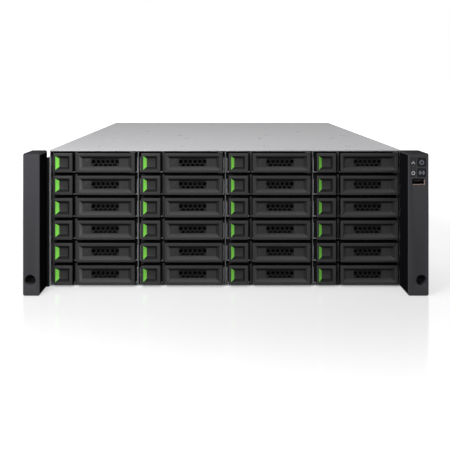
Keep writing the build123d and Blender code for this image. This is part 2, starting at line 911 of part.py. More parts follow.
def psu(bay):
    """Power supply: closed case, and a nose with the mains inlet, the vent, a strap grip and the latch slot."""
    x = upper_bay_x(bay)
    z = upper_module_z
    nose_y = rear_y - psu_nose_depth
    case = centred_block(x, rear_y - module_depth, nose_y, z, upper_module_width, upper_module_height)
    wall = psu_case_wall
    room = centred_block(
        x, rear_y - module_depth + wall, nose_y - wall, z, upper_module_width - 2 * wall, upper_module_height - 2 * wall
    )
    nose = centred_block(x, nose_y, rear_y, z, upper_module_width, upper_module_height)
    inlet_back = rear_y - inlet_depth
    nose = nose - centred_block(x + inlet_x, inlet_back, rear_y + 1, z + inlet_z, inlet_width, inlet_height)
    vent_back = rear_y - psu_vent_depth
    nose = nose - rod_y(x + psu_vent_x, z + psu_vent_z, psu_vent_radius, vent_back, rear_y + 1)
    slot = latch_slot(x, z)
    nose = nose - slot
    strap = grip(x, z)
    pins = []
    for px, pz in ((-inlet_pin_spacing, -inlet_earth_rise / 2), (inlet_pin_spacing, -inlet_earth_rise / 2), (0, inlet_earth_rise)):
        middle_x, middle_z = x + inlet_x + px, z + inlet_z + pz
        pins.append(
            centred_block(
                middle_x, inlet_back, inlet_back + inlet_pin_length, middle_z, inlet_pin_width, inlet_pin_height
            )
        )
    return [case - room, nose, strap] + pins


def latch_slot(x, z):
    """Slot of the nose in which the latch stands and slides."""
    slot_x = x + latch_x
    left = slot_x - latch_width / 2 - latch_play - latch_travel
    right = slot_x + latch_width / 2 + latch_play
    half = latch_height / 2 + latch_play
    return block(left, right, rear_y - latch_depth, rear_y + 1, z + latch_z - half, z + latch_z + half)


def grip(x, z):
    """Strap handle bent from flat bar, fixed to the nose."""
    middle = x + grip_x
    half = grip_width / 2
    end = rear_y + grip_reach
    outline = [
        (middle - half, rear_y),
        (middle - half, end),
        (middle + half, end),
        (middle + half, rear_y),
        (middle + half - grip_strap, rear_y),
        (middle + half - grip_strap, end - grip_strap),
        (middle - half + grip_strap, end - grip_strap),
        (middle - half + grip_strap, rear_y),
    ]
    return along_z(outline, z + grip_z - grip_height / 2, z + grip_z + grip_height / 2)


def psu_latch(bay):
    """Sprung latch of a power supply: a thumb tab that is pushed towards the grip."""
    x = upper_bay_x(bay) + latch_x
    z = upper_module_z + latch_z
    half = latch_width / 2
    root = rear_y - latch_depth + latch_play
    tip = rear_y + latch_reach
    outline = [
        (x - half, root),
        (x + half, root),
        (x + half, rear_y + latch_play),
        (x + half / 2, tip),
        (x - half / 2, tip),
        (x - half, rear_y + latch_play),
    ]
    return [along_z(outline, z - latch_height / 2, z + latch_height / 2)]


# Fan modules


def fan_middle_y():
    """Depth of the middle of the fan rotors."""
    return rear_y - fan_module_depth / 2


def fan_module(bay):
    """Fan frame with a round duct, a slotted grille at the rear and a bridge that holds the shaft."""
    x = upper_bay_x(bay)
    z = upper_module_z
    y0 = rear_y - fan_module_depth
    grille_y = rear_y - fan_grille_sheet
    frame = centred_block(x, y0, rear_y, z, upper_module_width, upper_module_height)
    frame = frame - rod_y(x, z, fan_bore_radius, y0 - 1, grille_y)
    slot_pitch = 2 * (fan_bore_radius - fan_slot_margin) / fan_slot_count
    slot_height = slot_pitch - fan_slot_bar
    for place in range(fan_slot_count):
        rise = (place - (fan_slot_count - 1) / 2) * slot_pitch
        edge = abs(rise) + slot_height / 2
        width = 2 * (fan_bore_radius**2 - edge**2) ** 0.5
        frame = frame - centred_block(x, grille_y - 1, rear_y + 1, z + rise, width, slot_height)
    bridge_y1 = fan_middle_y() - fan_hub_length / 2 - fan_running_gap
    bridge_y0 = bridge_y1 - fan_bridge_depth
    frame = frame + centred_block(x, bridge_y0, bridge_y1, z, 2 * fan_bore_radius + 1, fan_bridge_width)
    shaft_end = fan_middle_y() + fan_hub_length / 4
    return [frame + rod_y(x, z, fan_shaft_radius, bridge_y1, shaft_end)]


def fan_blade():
    """One pitched blade along +X, drawn at the origin with the fan's axis along Y."""
    root = fan_hub_radius / 2
    blade = block(root, fan_blade_tip, -fan_blade_chord / 2, fan_blade_chord / 2, 0, fan_blade_sheet)
    return Rot(fan_blade_angle, 0, 0) * blade


def fan_rotor(bay):
    """Hub with its pitched blades, bored for the shaft."""
    x = upper_bay_x(bay)
    z = upper_module_z
    plane = Plane((0, -fan_hub_length / 2, 0), x_dir=(1, 0, 0), z_dir=(0, -1, 0))
    hub = extrude(plane * RegularPolygon(fan_hub_radius, 4 * fan_blade_count), amount=-fan_hub_length)
    blade = fan_blade()
    for index in range(fan_blade_count):
        hub = hub + Rot(0, index * 360 / fan_blade_count, 0) * blade
    bore_end = fan_hub_length / 4 + fan_running_gap
    hub = hub - rod_y(0, 0, fan_shaft_radius + fan_shaft_play, -fan_hub_length / 2 - 1, bore_end)
    return [Pos(x, fan_middle_y(), z) * hub]


def all_nodes():
    """Every sub-part, as a name with its solids."""
    nodes = {
        "chassis_tub": chassis_tub(),
        "drive_cage": drive_cage(),
        "rear_bay_frame": rear_bay_frame(),
        "front_top_cover": cover(front_y, seam_y - cover_seam_gap / 2),
        "rear_top_cover": cover(seam_y + cover_seam_gap / 2, rear_y),
        "left_ear_cover": left_ear_cover(),
        "right_ear_cover": right_ear_cover(),
        "rack_brackets": rack_brackets(),
        "power_button": panel_key(0),
        "locate_button": panel_key(1),
        "front_panel_board": front_panel_board(),
        "front_usb_port": front_usb_port(),
        "midplane": midplane(),
        "controller_case": controller_case(),
        "mainboard": mainboard(),
        "cpu_heatsink": cpu_heatsink(),
        "memory_modules": memory_modules(),
        "rear_ports": rear_ports(),
        "controller_lever_left": controller_lever(-1),
        "controller_lever_right": controller_lever(1),
    }
    for name, bay in (("left", 0), ("right", upper_bays - 1)):
        nodes[f"psu_{name}"] = psu(bay)
        nodes[f"psu_{name}_latch"] = psu_latch(bay)
    for name, bay in (("left", 1), ("right", upper_bays - 2)):
        nodes[f"fan_module_{name}"] = fan_module(bay)
        nodes[f"fan_rotor_{name}"] = fan_rotor(bay)
    kinds = tray_parts()
    for row in range(rows):
        for column in range(columns):
            kind = "top" if row == 0 else "other"
            nodes[f"tray_r{row + 1}c{column + 1}"] = placed(kinds[kind], row, column)
    for column in range(columns):
        nodes[f"tray_button_c{column + 1}"] = placed(kinds["button"], 0, column)
        nodes[f"tray_handle_c{column + 1}"] = placed(kinds["handle"], 0, column)
    return nodes


def main():
    """Write each sub-part to its own file."""
    os.makedirs("parts", exist_ok=True)
    for name, shapes in all_nodes().items():
        solids = [solid for shape in shapes for solid in shape.solids()]
        export_step(Compound(solids), f"parts/{name}.step")
        print(name, len(solids))


main()
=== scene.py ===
import logging
import math
from collections.abc import Callable
from dataclasses import dataclass, field
from enum import Enum

import bmesh
import bpy
import numpy as np
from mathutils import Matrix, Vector
from mathutils.geometry import delaunay_2d_cdt


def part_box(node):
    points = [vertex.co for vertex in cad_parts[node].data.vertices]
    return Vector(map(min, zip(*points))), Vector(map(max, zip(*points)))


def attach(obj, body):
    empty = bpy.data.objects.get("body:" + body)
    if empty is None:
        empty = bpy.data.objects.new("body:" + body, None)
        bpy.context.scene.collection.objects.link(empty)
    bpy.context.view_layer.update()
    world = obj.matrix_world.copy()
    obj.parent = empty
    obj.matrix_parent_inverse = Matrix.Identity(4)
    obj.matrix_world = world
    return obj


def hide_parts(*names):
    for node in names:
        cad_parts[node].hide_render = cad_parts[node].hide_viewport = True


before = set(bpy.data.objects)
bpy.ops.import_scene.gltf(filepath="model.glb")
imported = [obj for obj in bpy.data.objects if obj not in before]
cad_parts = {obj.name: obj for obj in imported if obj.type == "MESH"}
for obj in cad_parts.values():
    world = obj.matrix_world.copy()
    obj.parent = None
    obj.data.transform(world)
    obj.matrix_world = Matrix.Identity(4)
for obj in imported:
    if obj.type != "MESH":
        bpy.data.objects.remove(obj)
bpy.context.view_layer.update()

MM = 0.001
LOG = logging.getLogger("rackmount_storage_server")


# Finishes


class Pattern(Enum):
    """The fine pattern that varies the colour, gloss and relief of a finish."""

    MOTTLED = "mottled"
    BRUSHED = "brushed"
    SPANGLED = "spangled"
    BOARD = "board"


Socket = bpy.types.NodeSocket
Source = bpy.types.NodeSocket | float | tuple[float, ...]
WHITE = (1.0, 1.0, 1.0, 1.0)
# Colours of a board's copper under the mask, and of its plated holes
TRACK = (0.10, 0.36, 0.16, 1.0)
VIA = (0.62, 0.52, 0.28, 1.0)
# How much of a finish's variation comes from the coarse patches, the rest being its fine grain
PATCH_SHARE = 0.55
# Places of the share and the two colours among a Mix node's inputs, and of the colour it gives
MIX_INPUTS = (0, 6, 7)
MIX_COLOUR = 2


class NodeBoard:
    """The node tree of a material or a world, with short calls to add and join nodes."""

    def __init__(self, owner: bpy.types.ID) -> None:
        """Empties the tree.

        Args:
            owner: The material or the world.
        """
        owner.use_nodes = True
        self.owner = owner
        self.tree = owner.node_tree
        self.tree.nodes.clear()

    def add(self, kind: str, **settings: object) -> bpy.types.Node:
        """Adds a node.

        Args:
            kind: The node's type name.
            **settings: Attributes of the node, or inputs by name with spaces as underscores.

        Returns:
            The new node.
        """
        node = self.tree.nodes.new(kind)
        for key, value in settings.items():
            label = key.replace("_", " ")
            if label in node.inputs:
                self.join(value, node.inputs[label])
            else:
                setattr(node, key, value)
        return node

    def join(self, source: Source, target: Socket) -> None:
        """Links an output to an input, or writes a plain value into it.

        Args:
            source: The output or the value.
            target: The input.
        """
        if isinstance(source, Socket):
            self.tree.links.new(source, target)
        else:
            target.default_value = source

    def compute(self, operation: str, *values: Source) -> Socket:
        """Adds a Math node.

        Args:
            operation: What it does.
            *values: Its inputs, in order.

        Returns:
            Its result.
        """
        node = self.add("ShaderNodeMath", operation=operation)
        for value, target in zip(values, node.inputs, strict=False):
            self.join(value, target)
        return node.outputs[0]

    def mix(self, share: Source, low: Source, high: Source) -> Socket:
        """Blends two colours.

        Args:
            share: The share of the second colour.
            low: The first colour.
            high: The second colour.

        Returns:
            The blended colour.
        """
        node = self.add("ShaderNodeMix", data_type="RGBA")
        for source, place in zip((share, low, high), MIX_INPUTS, strict=True):
            self.join(source, node.inputs[place])
        return node.outputs[MIX_COLOUR]

    def spread(self, value: Source, **limits: object) -> Socket:
        """Maps a value from one range to another."""
        return self.add("ShaderNodeMapRange", Value=value, **limits).outputs[0]

    def direct_rays(self) -> Socket:
        """Tells apart the rays that see a surface from those that only light others.

        Returns:
            1 for rays that come from the camera, a reflection or a clear surface, and 0 for others.
        """
        rays = self.add("ShaderNodeLightPath").outputs
        seen = self.compute("MAXIMUM", rays["Is Camera Ray"], rays["Is Glossy Ray"])
        return self.compute("MAXIMUM", seen, rays["Is Transmission Ray"])

    def close(self, shader: bpy.types.Node, kind: str = "ShaderNodeOutputMaterial") -> bpy.types.ID:
        """Joins the shader to an output node and returns the material or the world."""
        self.add(kind, Surface=shader.outputs[0])
        return self.owner


@dataclass(frozen=True)
class Finish:
    """One surface finish, with its colour in linear light.

    Contrast is how far the colour varies, as a share, and swing how far the roughness does. Grain and patch
    are the sizes of the fine and the coarse pattern, and relief its height, all in millimetres.
    """

    name: str
    slot: str
    colour: tuple[float, float, float]
    pattern: Pattern = Pattern.MOTTLED
    metallic: float = 0.0
    roughness: float = 0.5
    swing: float = 0.08
    contrast: float = 0.12
    grain: float = 0.7
    patch: float = 30.0
    relief: float = 0.02
    specular: float = 0.1

    def material(self) -> bpy.types.Material:
        """Returns the finish's material, made once."""
        return bpy.data.materials.get(self.name) or self._make()

    def _make(self) -> bpy.types.Material:
        """Builds the node tree: patches and grain drive the colour, the gloss and the relief.

        Returns:
            The new material.
        """
        board = NodeBoard(bpy.data.materials.new(self.name))
        place = board.add("ShaderNodeTexCoord").outputs["Object"]
        patches = board.add(
            "ShaderNodeTexNoise", Vector=place, Scale=1.0 / (self.patch * MM), Detail=3.0, Roughness=0.6
        )
        grain = self._grain(board, place)
        weighted = board.compute("MULTIPLY", grain, 1.0 - PATCH_SHARE)
        share = board.compute("MULTIPLY_ADD", patches.outputs["Fac"], PATCH_SHARE, weighted)
        dark = tuple(c * (1 - self.contrast) for c in self.colour)
        light = tuple(min(1.0, c * (1 + self.contrast)) for c in self.colour)
        colour = board.mix(share, (*dark, 1.0), (*light, 1.0))
        if self.pattern is Pattern.BOARD:
            colour = self._traces(board, place, colour)
        gloss = board.spread(share, To_Min=self.roughness - self.swing, To_Max=self.roughness + self.swing)
        bump = board.add("ShaderNodeBump", Strength=0.6, Distance=self.relief * MM, Height=grain)
        shader = board.add(
            "ShaderNodeBsdfPrincipled", Base_Color=colour, Metallic=self.metallic, Roughness=gloss,
            Specular_IOR_Level=self.specular, Normal=bump.outputs[0],
        )
        return board.close(shader)

    def _grain(self, board: NodeBoard, place: Socket) -> Socket:
        """Adds the fine pattern of this finish and returns its value.

        Args:
            board: The node tree.
            place: Object coordinates.

        Returns:
            The pattern's value from 0 to 1.
        """
        fine = 1.0 / (self.grain * MM)
        if self.pattern is Pattern.SPANGLED:
            cells = board.add("ShaderNodeTexVoronoi", Vector=place, Scale=fine, Randomness=1.0)
            return board.add("ShaderNodeSeparateColor", Color=cells.outputs["Color"]).outputs[0]
        if self.pattern is Pattern.BRUSHED:
            place = board.add("ShaderNodeMapping", Vector=place, Scale=(0.03, 1.0, 1.0)).outputs[0]
        noise = board.add("ShaderNodeTexNoise", Vector=place, Scale=fine, Detail=4.0, Roughness=0.65)
        return noise.outputs["Fac"]

    def _traces(self, board: NodeBoard, place: Socket, colour: Socket) -> Socket:
        """Lays fine tracks under the solder mask and round vias over it.

        Args:
            board: The node tree.
            place: Object coordinates.
            colour: The solder mask's colour.

        Returns:
            The colour with tracks and vias.
        """
        tracks = board.add(
            "ShaderNodeTexWave", Vector=place, Scale=95.0, Distortion=9.0, Detail=1.0, Detail_Scale=0.25
        )
        narrow = board.spread(tracks.outputs["Fac"], From_Min=0.78, From_Max=0.86, To_Max=0.45)
        dots = board.add("ShaderNodeTexVoronoi", Vector=place, Scale=160.0, Randomness=0.75)
        ring = board.spread(dots.outputs["Distance"], From_Min=0.16, From_Max=0.10)
        return board.mix(ring, board.mix(narrow, colour, TRACK), VIA)


TRAY = Finish("tray_moulding", "tray_plastic", (0.036, 0.035, 0.036), roughness=0.46, relief=0.03)
HANDLE = Finish("handle_moulding", "handle_plastic", (0.036, 0.035, 0.036), roughness=0.44, relief=0.03)
# Lighter, glossier left slope of the handle's pocket: a painted highlight
HANDLE_SLOPE_HIGHLIGHT = Finish(
    "handle_slope_painted_highlight", "handle_plastic", (0.055, 0.053, 0.057), roughness=0.36, relief=0.02, specular=0.9
)
BUTTON = Finish("button_moulding", "button_plastic", (0.037, 0.036, 0.037), roughness=0.44, relief=0.03)
BUTTON_FLOOR = Finish("button_pad", "button_plastic", (0.034, 0.032, 0.033), roughness=0.55, relief=0.03)
GREEN = Finish(
    "release_green", "button_plastic", (0.26, 0.82, 0.105), roughness=0.38, contrast=0.05, relief=0.005
)
LENS = Finish(
    "status_lens", "handle_plastic", (0.030, 0.0315, 0.0305), roughness=0.5, contrast=0.05, relief=0.004
)
GRILLE = Finish("grille_moulding", "tray_plastic", (0.015, 0.015, 0.016), roughness=0.5, relief=0.02)
EAR = Finish("ear_moulding", "ear_plastic", (0.048, 0.048, 0.053), roughness=0.50, relief=0.035, grain=0.5)
# Near-black inner side of each ear: painted shade
EAR_SIDE_SHADE = Finish("ear_side_painted_shade", "ear_plastic", (0.006, 0.006, 0.007), roughness=0.7, grain=0.5, specular=0.0)
# Darker top of each ear: painted shade
EAR_TOP_SHADE = Finish("ear_top", "ear_plastic", (0.030, 0.030, 0.032), roughness=0.7, grain=0.5, specular=0.0)
# Near-black slopes inside the pockets: painted shade
PAINTED_SHADE = Finish("pocket_slope_painted_shade", "handle_plastic", (0.010, 0.010, 0.010), roughness=0.6, specular=0.05)
# Darker right slope of the handle's pocket: painted shade
HANDLE_END_SHADE = Finish("handle_end_painted_shade", "handle_plastic", (0.023, 0.022, 0.023), roughness=0.6, specular=0.05)
# Near-black sides of the handles and buttons: painted shade in the gaps between trays
FLANK_SHADE = Finish("moulding_flank_painted_shade", "handle_plastic", (0.006, 0.006, 0.006), roughness=0.7, specular=0.0)
BRACKET = Finish(
    "bracket_coat", "bracket_steel", (0.014, 0.014, 0.015), roughness=0.48, grain=1.1, relief=0.03
)
KEY = Finish("key_gloss", "key_plastic", (0.010, 0.010, 0.012), roughness=0.3, swing=0.04)
ICON = Finish("icon_print", "key_plastic", (0.46, 0.47, 0.50), roughness=0.5, contrast=0.03)
SIGN = Finish("sign_print", "key_plastic", (0.20, 0.22, 0.25), roughness=0.5, contrast=0.03)
GUIDE = Finish("light_guide", "key_plastic", (0.044, 0.041, 0.042), roughness=0.4, contrast=0.04)
TOP_STEEL = Finish(
    "cover_zinc", "cover_steel", (0.36, 0.36, 0.37), Pattern.SPANGLED,
    metallic=0.15, roughness=0.46, contrast=0.015, grain=5.0, patch=200.0, relief=0.0005,
)
HEM = Finish(
    "cover_hem", "cover_steel", (0.46, 0.46, 0.47), Pattern.BRUSHED,
    roughness=0.4, contrast=0.03, relief=0.002,
)
# Zinc steel darkened far below the chassis's: painted shade on the cage's uprights in the bays
CAGE_SHADED = Finish(
    "cage_zinc_painted_shade", "chassis_steel", (0.13, 0.13, 0.135), Pattern.SPANGLED,
    metallic=0.3, roughness=0.5, contrast=0.07, grain=5.0, patch=90.0, relief=0.002,
)
STEEL = Finish(
    "chassis_zinc", "chassis_steel", (0.55, 0.56, 0.57), Pattern.SPANGLED,
    metallic=0.7, roughness=0.38, contrast=0.07, grain=5.0, patch=90.0, relief=0.002,
)
SCREW = Finish(
    "screw_zinc", "cover_steel", (0.58, 0.58, 0.57), Pattern.BRUSHED, metallic=0.9, roughness=0.3, grain=0.5
)
SUPPLY = Finish(
    "supply_zinc", "psu_steel", (0.48, 0.49, 0.50), Pattern.SPANGLED,
    metallic=0.6, roughness=0.42, contrast=0.08, grain=4.0, patch=80.0, relief=0.002,
)
FAN = Finish("fan_moulding", "fan_plastic", (0.022, 0.022, 0.024), roughness=0.42, relief=0.02)
LATCH = Finish("latch_green", "latch_plastic", (0.16, 0.55, 0.10), roughness=0.42, relief=0.02)
CIRCUIT = Finish(
    "solder_mask", "circuit_board", (0.018, 0.12, 0.045), Pattern.BOARD,
    roughness=0.32, contrast=0.1, relief=0.004,
)
SOCKET_STEEL = Finish(
    "socket_plating", "port_metal", (0.60, 0.58, 0.55), Pattern.BRUSHED,
    metallic=0.9, roughness=0.28, grain=0.4,
)
COPPER = Finish(
    "usb_plating", "port_metal", (0.60, 0.43, 0.36), Pattern.BRUSHED, metallic=0.55, roughness=0.34, grain=0.4
)
GOLD = Finish(
    "contact_gold", "port_metal", (0.80, 0.58, 0.25), Pattern.BRUSHED, metallic=1.0, roughness=0.25, grain=0.3
)
ALUMINIUM = Finish(
    "heatsink_alloy", "heatsink_metal", (0.66, 0.67, 0.68), Pattern.BRUSHED,
    metallic=0.95, roughness=0.34, contrast=0.10, grain=0.6, relief=0.006,
)
CAST = Finish(
    "drive_casting", "tray_plastic", (0.045, 0.045, 0.048), metallic=0.3, roughness=0.5, grain=0.9
)
CHIP = Finish("chip_resin", "circuit_board", (0.018, 0.018, 0.020), roughness=0.4, grain=0.4, relief=0.01)
# Black plastic of the sockets, switches and inlets; on the USB socket's shell it also paints shade
INSERT_AND_SHADE = Finish("socket_insert_and_painted_shade", "fan_plastic", (0.016, 0.016, 0.017), roughness=0.38, grain=0.5, relief=0.01)


# Shapes


Coat = Finish | None
Pair = tuple[float, float]
Triple = tuple[float, float, float]


class Facing(Enum):
    """Which axes a flat outline (u, v) and its depth w lie along."""

    FRONT = (0, 2, 1)
    TOP = (0, 1, 2)
    SIDE = (1, 2, 0)

    def points(self, outline: np.ndarray, depth: float) -> np.ndarray:
        """Places an outline in space.

        Args:
            outline: Rows of (u, v).
            depth: The depth w of the whole outline.

        Returns:
            Rows of (x, y, z).
        """
        placed = np.empty((len(outline), 3))
        placed[:, self.value[0]] = outline[:, 0]
        placed[:, self.value[1]] = outline[:, 1]
        placed[:, self.value[2]] = depth
        return placed

    def stack(self, rings: list[np.ndarray], depths: list[float]) -> np.ndarray:
        """Places outlines one behind the other, as a grid of points."""
        return np.stack([self.points(ring, depth) for ring, depth in zip(rings, depths, strict=True)])


class Ends(Enum):
    """What becomes of the first and the last ring of a grid."""

    OPEN = "open"
    CLOSED = "closed"
    JOINED = "joined"


class Side(Enum):
    """The straight sides of a rounded rectangle, in the order in which its ring passes them."""

    RIGHT = 1
    TOP = 2
    LEFT = 3
    BOTTOM = 4


def in_mm(box: tuple[Vector, Vector]) -> tuple[np.ndarray, np.ndarray]:
    """The lowest and the highest corner of a box, in millimetres."""
    low, high = box
    return np.array(low) / MM, np.array(high) / MM


@dataclass(frozen=True)
class Contour:
    """A closed outline: a rounded rectangle, or a regular polygon where sides is set."""

    u: float
    v: float
    width: float
    height: float = 0.0
    radius: float = 0.0
    sides: int = 0
    turn: float = 0.0
    steps: int = 3

    def ring(self, grow: float = 0.0) -> np.ndarray:
        """Walks round the outline.

        A rounded rectangle is four arcs: each corner's centre plus radius times (cos a, sin a).
        A polygon has its flats at half the width plus grow from the middle.

        Args:
            grow: How far the outline is moved outwards.

        Returns:
            Rows of (u, v), anticlockwise.
        """
        if self.sides:
            reach = (self.width / 2 + grow) / math.cos(math.pi / self.sides)
            angle = self.turn + np.arange(self.sides) * 2 * math.pi / self.sides
            return np.c_[self.u + reach * np.cos(angle), self.v + reach * np.sin(angle)]
        radius = max(self.radius + grow, 0.02)
        angle = np.linspace(0, math.pi / 2, self.steps + 1)
        starts = np.array([-1, 0, 1, 2]) * math.pi / 2
        turned = starts[:, None] + angle[None, :]
        signs = np.array([(1, -1), (1, 1), (-1, 1), (-1, -1)])
        half = np.array([self.width / 2 + grow - radius, self.height / 2 + grow - radius])
        centres = np.array([self.u, self.v]) + signs * half
        arcs = np.stack([np.cos(turned), np.sin(turned)], axis=-1) * radius
        return (centres[:, None, :] + arcs).reshape(-1, 2)

    def edge(self, side: Side) -> int:
        """The number of a straight side among the edges of the ring."""
        return side.value * (self.steps + 1) - 1


def circle(u: float, v: float, radius: float, sides: int) -> Contour:
    """A round outline as a polygon of many sides."""
    return Contour(u, v, 2 * radius * math.cos(math.pi / sides), sides=sides)


class Surface:
    """Points and faces of one piece, gathered as arrays in millimetres.

    Each face keeps its finish, or None for the first finish of the piece.
    """

    def __init__(self) -> None:
        """Starts an empty surface."""
        self.points: list[np.ndarray] = []
        self.faces: list[list[int]] = []
        self.coats: list[Coat] = []
        self.count = 0

    def add(self, points: np.ndarray, faces: list[list[int]], finish: Coat = None) -> None:
        """Adds points and faces.

        Args:
            points: Rows of (x, y, z).
            faces: The corners of each face, counted from the first of these points.
            finish: The faces' finish.
        """
        self.points.append(points)
        self.faces += [[i + self.count for i in face] for face in faces]
        self.coats += [finish] * len(faces)
        self.count += len(points)

    def dress(self, numbers: np.ndarray | list[int], finish: Finish) -> None:
        """Gives another finish to the faces with these numbers."""
        for number in np.ravel(numbers):
            self.coats[number] = finish

    def grid(self, grid: np.ndarray, ends: Ends = Ends.OPEN, finish: Coat = None) -> np.ndarray:
        """Adds a surface given on a grid of two parameters, whose last column joins the first.

        Args:
            grid: Points as (rows, columns, 3).
            ends: Whether the first and the last row are joined, or closed with a face each.
            finish: Its finish.

        Returns:
            The grid's face numbers as (rows, columns), so that a band can get another finish.
        """
        rows, columns = grid.shape[:2]
        r = np.arange(rows if ends is Ends.JOINED else rows - 1)[:, None]
        c = np.arange(columns)[None, :]
        below, beside = (r + 1) % rows, (c + 1) % columns
        quads = np.stack(
            [r * columns + c, r * columns + beside, below * columns + beside, below * columns + c], axis=-1
        )
        first = len(self.faces)
        flat = quads.reshape(-1, 4)
        self.add(grid.reshape(-1, 3), flat.tolist(), finish)
        if ends is Ends.CLOSED:
            for ring in (grid[0], grid[-1]):
                self.add(ring, [list(range(columns))], finish)
        return first + np.arange(len(flat)).reshape(quads.shape[:2])

    def fill(self, rings: list[np.ndarray], facing: Facing, depth: float, finish: Coat = None) -> None:
        """Fills the flat area between an outline and the convex holes in it with triangles.

        A triangle is left out where its middle is on the inner side of every edge of a hole.

        Args:
            rings: The outline and its holes, as rows of (u, v).
            facing: The plane of the area.
            depth: Its depth.
            finish: Its finish.
        """
        flat = np.vstack(rings)
        edges, start = [], 0
        for ring in rings:
            index = np.arange(len(ring))
            edges.append(np.c_[index, (index + 1) % len(ring)] + start)
            start += len(ring)
        found = delaunay_2d_cdt(flat.tolist(), np.vstack(edges).tolist(), [], 1, 1e-6)
        corners = np.array([tuple(p) for p in found[0]])
        faces = np.array([list(face) for face in found[2]])
        middles = corners[faces].mean(axis=1)
        open_area = np.zeros(len(faces), bool)
        for hole in rings[1:]:
            ahead = np.roll(hole, -1, axis=0) - hole
            off = middles[:, None, :] - hole[None, :, :]
            open_area |= np.all(ahead[:, 0] * off[..., 1] - ahead[:, 1] * off[..., 0] > 0, axis=1)
        kept = faces[~open_area]
        self.add(facing.points(corners, depth), kept.tolist(), finish)

    def loft(
        self,
        rings: list[np.ndarray],
        depths: list[float],
        facing: Facing,
        ends: Ends = Ends.CLOSED,
        finish: Coat = None,
    ) -> np.ndarray:
        """Joins rings of equal length one behind the other.

        Args:
            rings: Outlines as rows of (u, v).
            depths: The depth of each.
            facing: The plane of the outlines.
            ends: What becomes of the first and the last ring.
            finish: Its finish.

        Returns:
            The face numbers of the joined bands.
        """
        return self.grid(facing.stack(rings, depths), ends, finish)

    def block(
        self, low: tuple[float, ...], high: tuple[float, ...], edge: float = 0.2, finish: Coat = None
    ) -> None:
        """Adds a block with chamfered edges: a rectangle lofted along Z, its ends drawn in by the chamfer.

        Args:
            low: Its lowest corner.
            high: Its highest corner.
            edge: The chamfer, at most a third of a side.
            finish: Its finish.
        """
        (x0, y0, z0), (x1, y1, z1) = low, high
        edge = min(edge, (x1 - x0) / 3, (y1 - y0) / 3, (z1 - z0) / 3)
        outline = Contour((x0 + x1) / 2, (y0 + y1) / 2, x1 - x0, y1 - y0, edge, steps=1)
        rings = [outline.ring(grow) for grow in (-edge, 0.0, 0.0, -edge)]
        self.loft(rings, [z0, z0 + edge, z1 - edge, z1], Facing.TOP, finish=finish)

    def panel(
        self,
        outline: Contour,
        holes: list[Contour],
        face: float,
        back: float,
        facing: Facing,
        edge: float,
        finish: Coat = None,
    ) -> np.ndarray:
        """Adds a flat plate with holes, all its edges rounded on the side that shows.

        Args:
            outline: The plate's outline.
            holes: The holes in it.
            face: Depth of the side that shows.
            back: Depth of the other side.
            facing: The plane of the plate.
            edge: Radius of the rounding.
            finish: Its finish.

        Returns:
            The face numbers of the outer edge's bands.
        """
        way = 1.0 if back > face else -1.0
        draws = [(edge, 0.0), (0.3 * edge, 0.3 * edge), (0.0, edge)]
        bands = []
        for contour, sign in [(outline, -1.0), *[(hole, 1.0) for hole in holes]]:
            rings = [contour.ring(sign * inset) for inset, _ in draws] + [contour.ring()]
            depths = [face + way * drop for _, drop in draws] + [back]
            bands.append(self.loft(rings, depths, facing, Ends.OPEN, finish))
        self.fill([outline.ring(-edge), *[h.ring(edge) for h in holes]], facing, face, finish)
        self.fill([outline.ring(), *[h.ring() for h in holes]], facing, back, finish)
        return bands[0]

    def turned(
        self,
        u: float,
        v: float,
        profile: list[Pair],
        facing: Facing,
        sides: int,
        ends: Ends = Ends.CLOSED,
        finish: Coat = None,
    ) -> None:
        """Adds a turned shape: each profile point (radius, depth) goes once round the axis at (u, v).

        Args:
            u: The axis in the outline's plane.
            v: The same, in its second axis.
            profile: Points of (radius, depth).
            facing: The plane across the axis.
            sides: How many sides the circle has.
            ends: Whether the profile is closed on itself, or its ends with a face each.
            finish: Its finish.
        """
        rings = [circle(u, v, max(radius, 1e-3), sides).ring() for radius, _ in profile]
        self.loft(rings, [depth for _, depth in profile], facing, ends, finish)

    def hoop(
        self,
        u: float,
        v: float,
        depth: float,
        radius: float,
        wire: float,
        facing: Facing,
        finish: Coat = None,
    ) -> None:
        """Adds a wire ring: a small circle of the wire's radius carried round a large one.

        Args:
            u: The ring's middle.
            v: The same, in the second axis.
            depth: Its depth.
            radius: Radius of the large circle.
            wire: Radius of the wire.
            facing: The plane of the ring.
            finish: Its finish.
        """
        angle = np.linspace(0, 2 * math.pi, 8, endpoint=False)
        profile = [(radius + wire * math.cos(a), depth + wire * math.sin(a)) for a in angle]
        self.turned(u, v, profile, facing, 40, Ends.JOINED, finish)

    def screw(
        self,
        u: float,
        v: float,
        seat: float,
        way: float,
        facing: Facing,
        radius: float,
        finish: Coat = None,
    ) -> None:
        """Adds a low pan head with a hexagonal socket, standing on its seat.

        The socket's ring is a hexagon: the distance of its flats over the cosine of the angle from a
        flat's middle.

        Args:
            u: The screw's place.
            v: The same, in the second axis.
            seat: Depth of the surface under the head.
            way: The direction in which the head stands up.
            facing: The plane of the surface.
            radius: Radius of the head.
            finish: Its finish.
        """
        sides = 24
        angle = np.arange(sides) * 2 * math.pi / sides
        around = np.c_[np.cos(angle), np.sin(angle)]
        middle = np.array([u, v])
        flat = 0.42 * radius
        off = np.mod(angle + math.pi / 6, math.pi / 3) - math.pi / 6
        socket = middle + around * (flat / np.cos(off))[:, None]
        heights = [-0.2, 0.45, 0.75, 0.9, 0.9, 0.2]
        radii = [1.0, 1.0, 0.93, 0.8]
        rings = [middle + around * radius * share for share in radii] + [socket, socket]
        self.loft(rings, [seat + way * h * radius / 3 for h in heights], facing, finish=finish)

    def moved(self, x: float, y: float, z: float) -> "Surface":
        """Copies the surface to another place.

        Args:
            x: The way along X.
            y: The way along Y.
            z: The way along Z.

        Returns:
            The moved surface, which shares its faces with this one.
        """
        other = Surface()
        other.points = [points + np.array([x, y, z]) for points in self.points]
        other.faces, other.coats, other.count = self.faces, self.coats, self.count
        return other

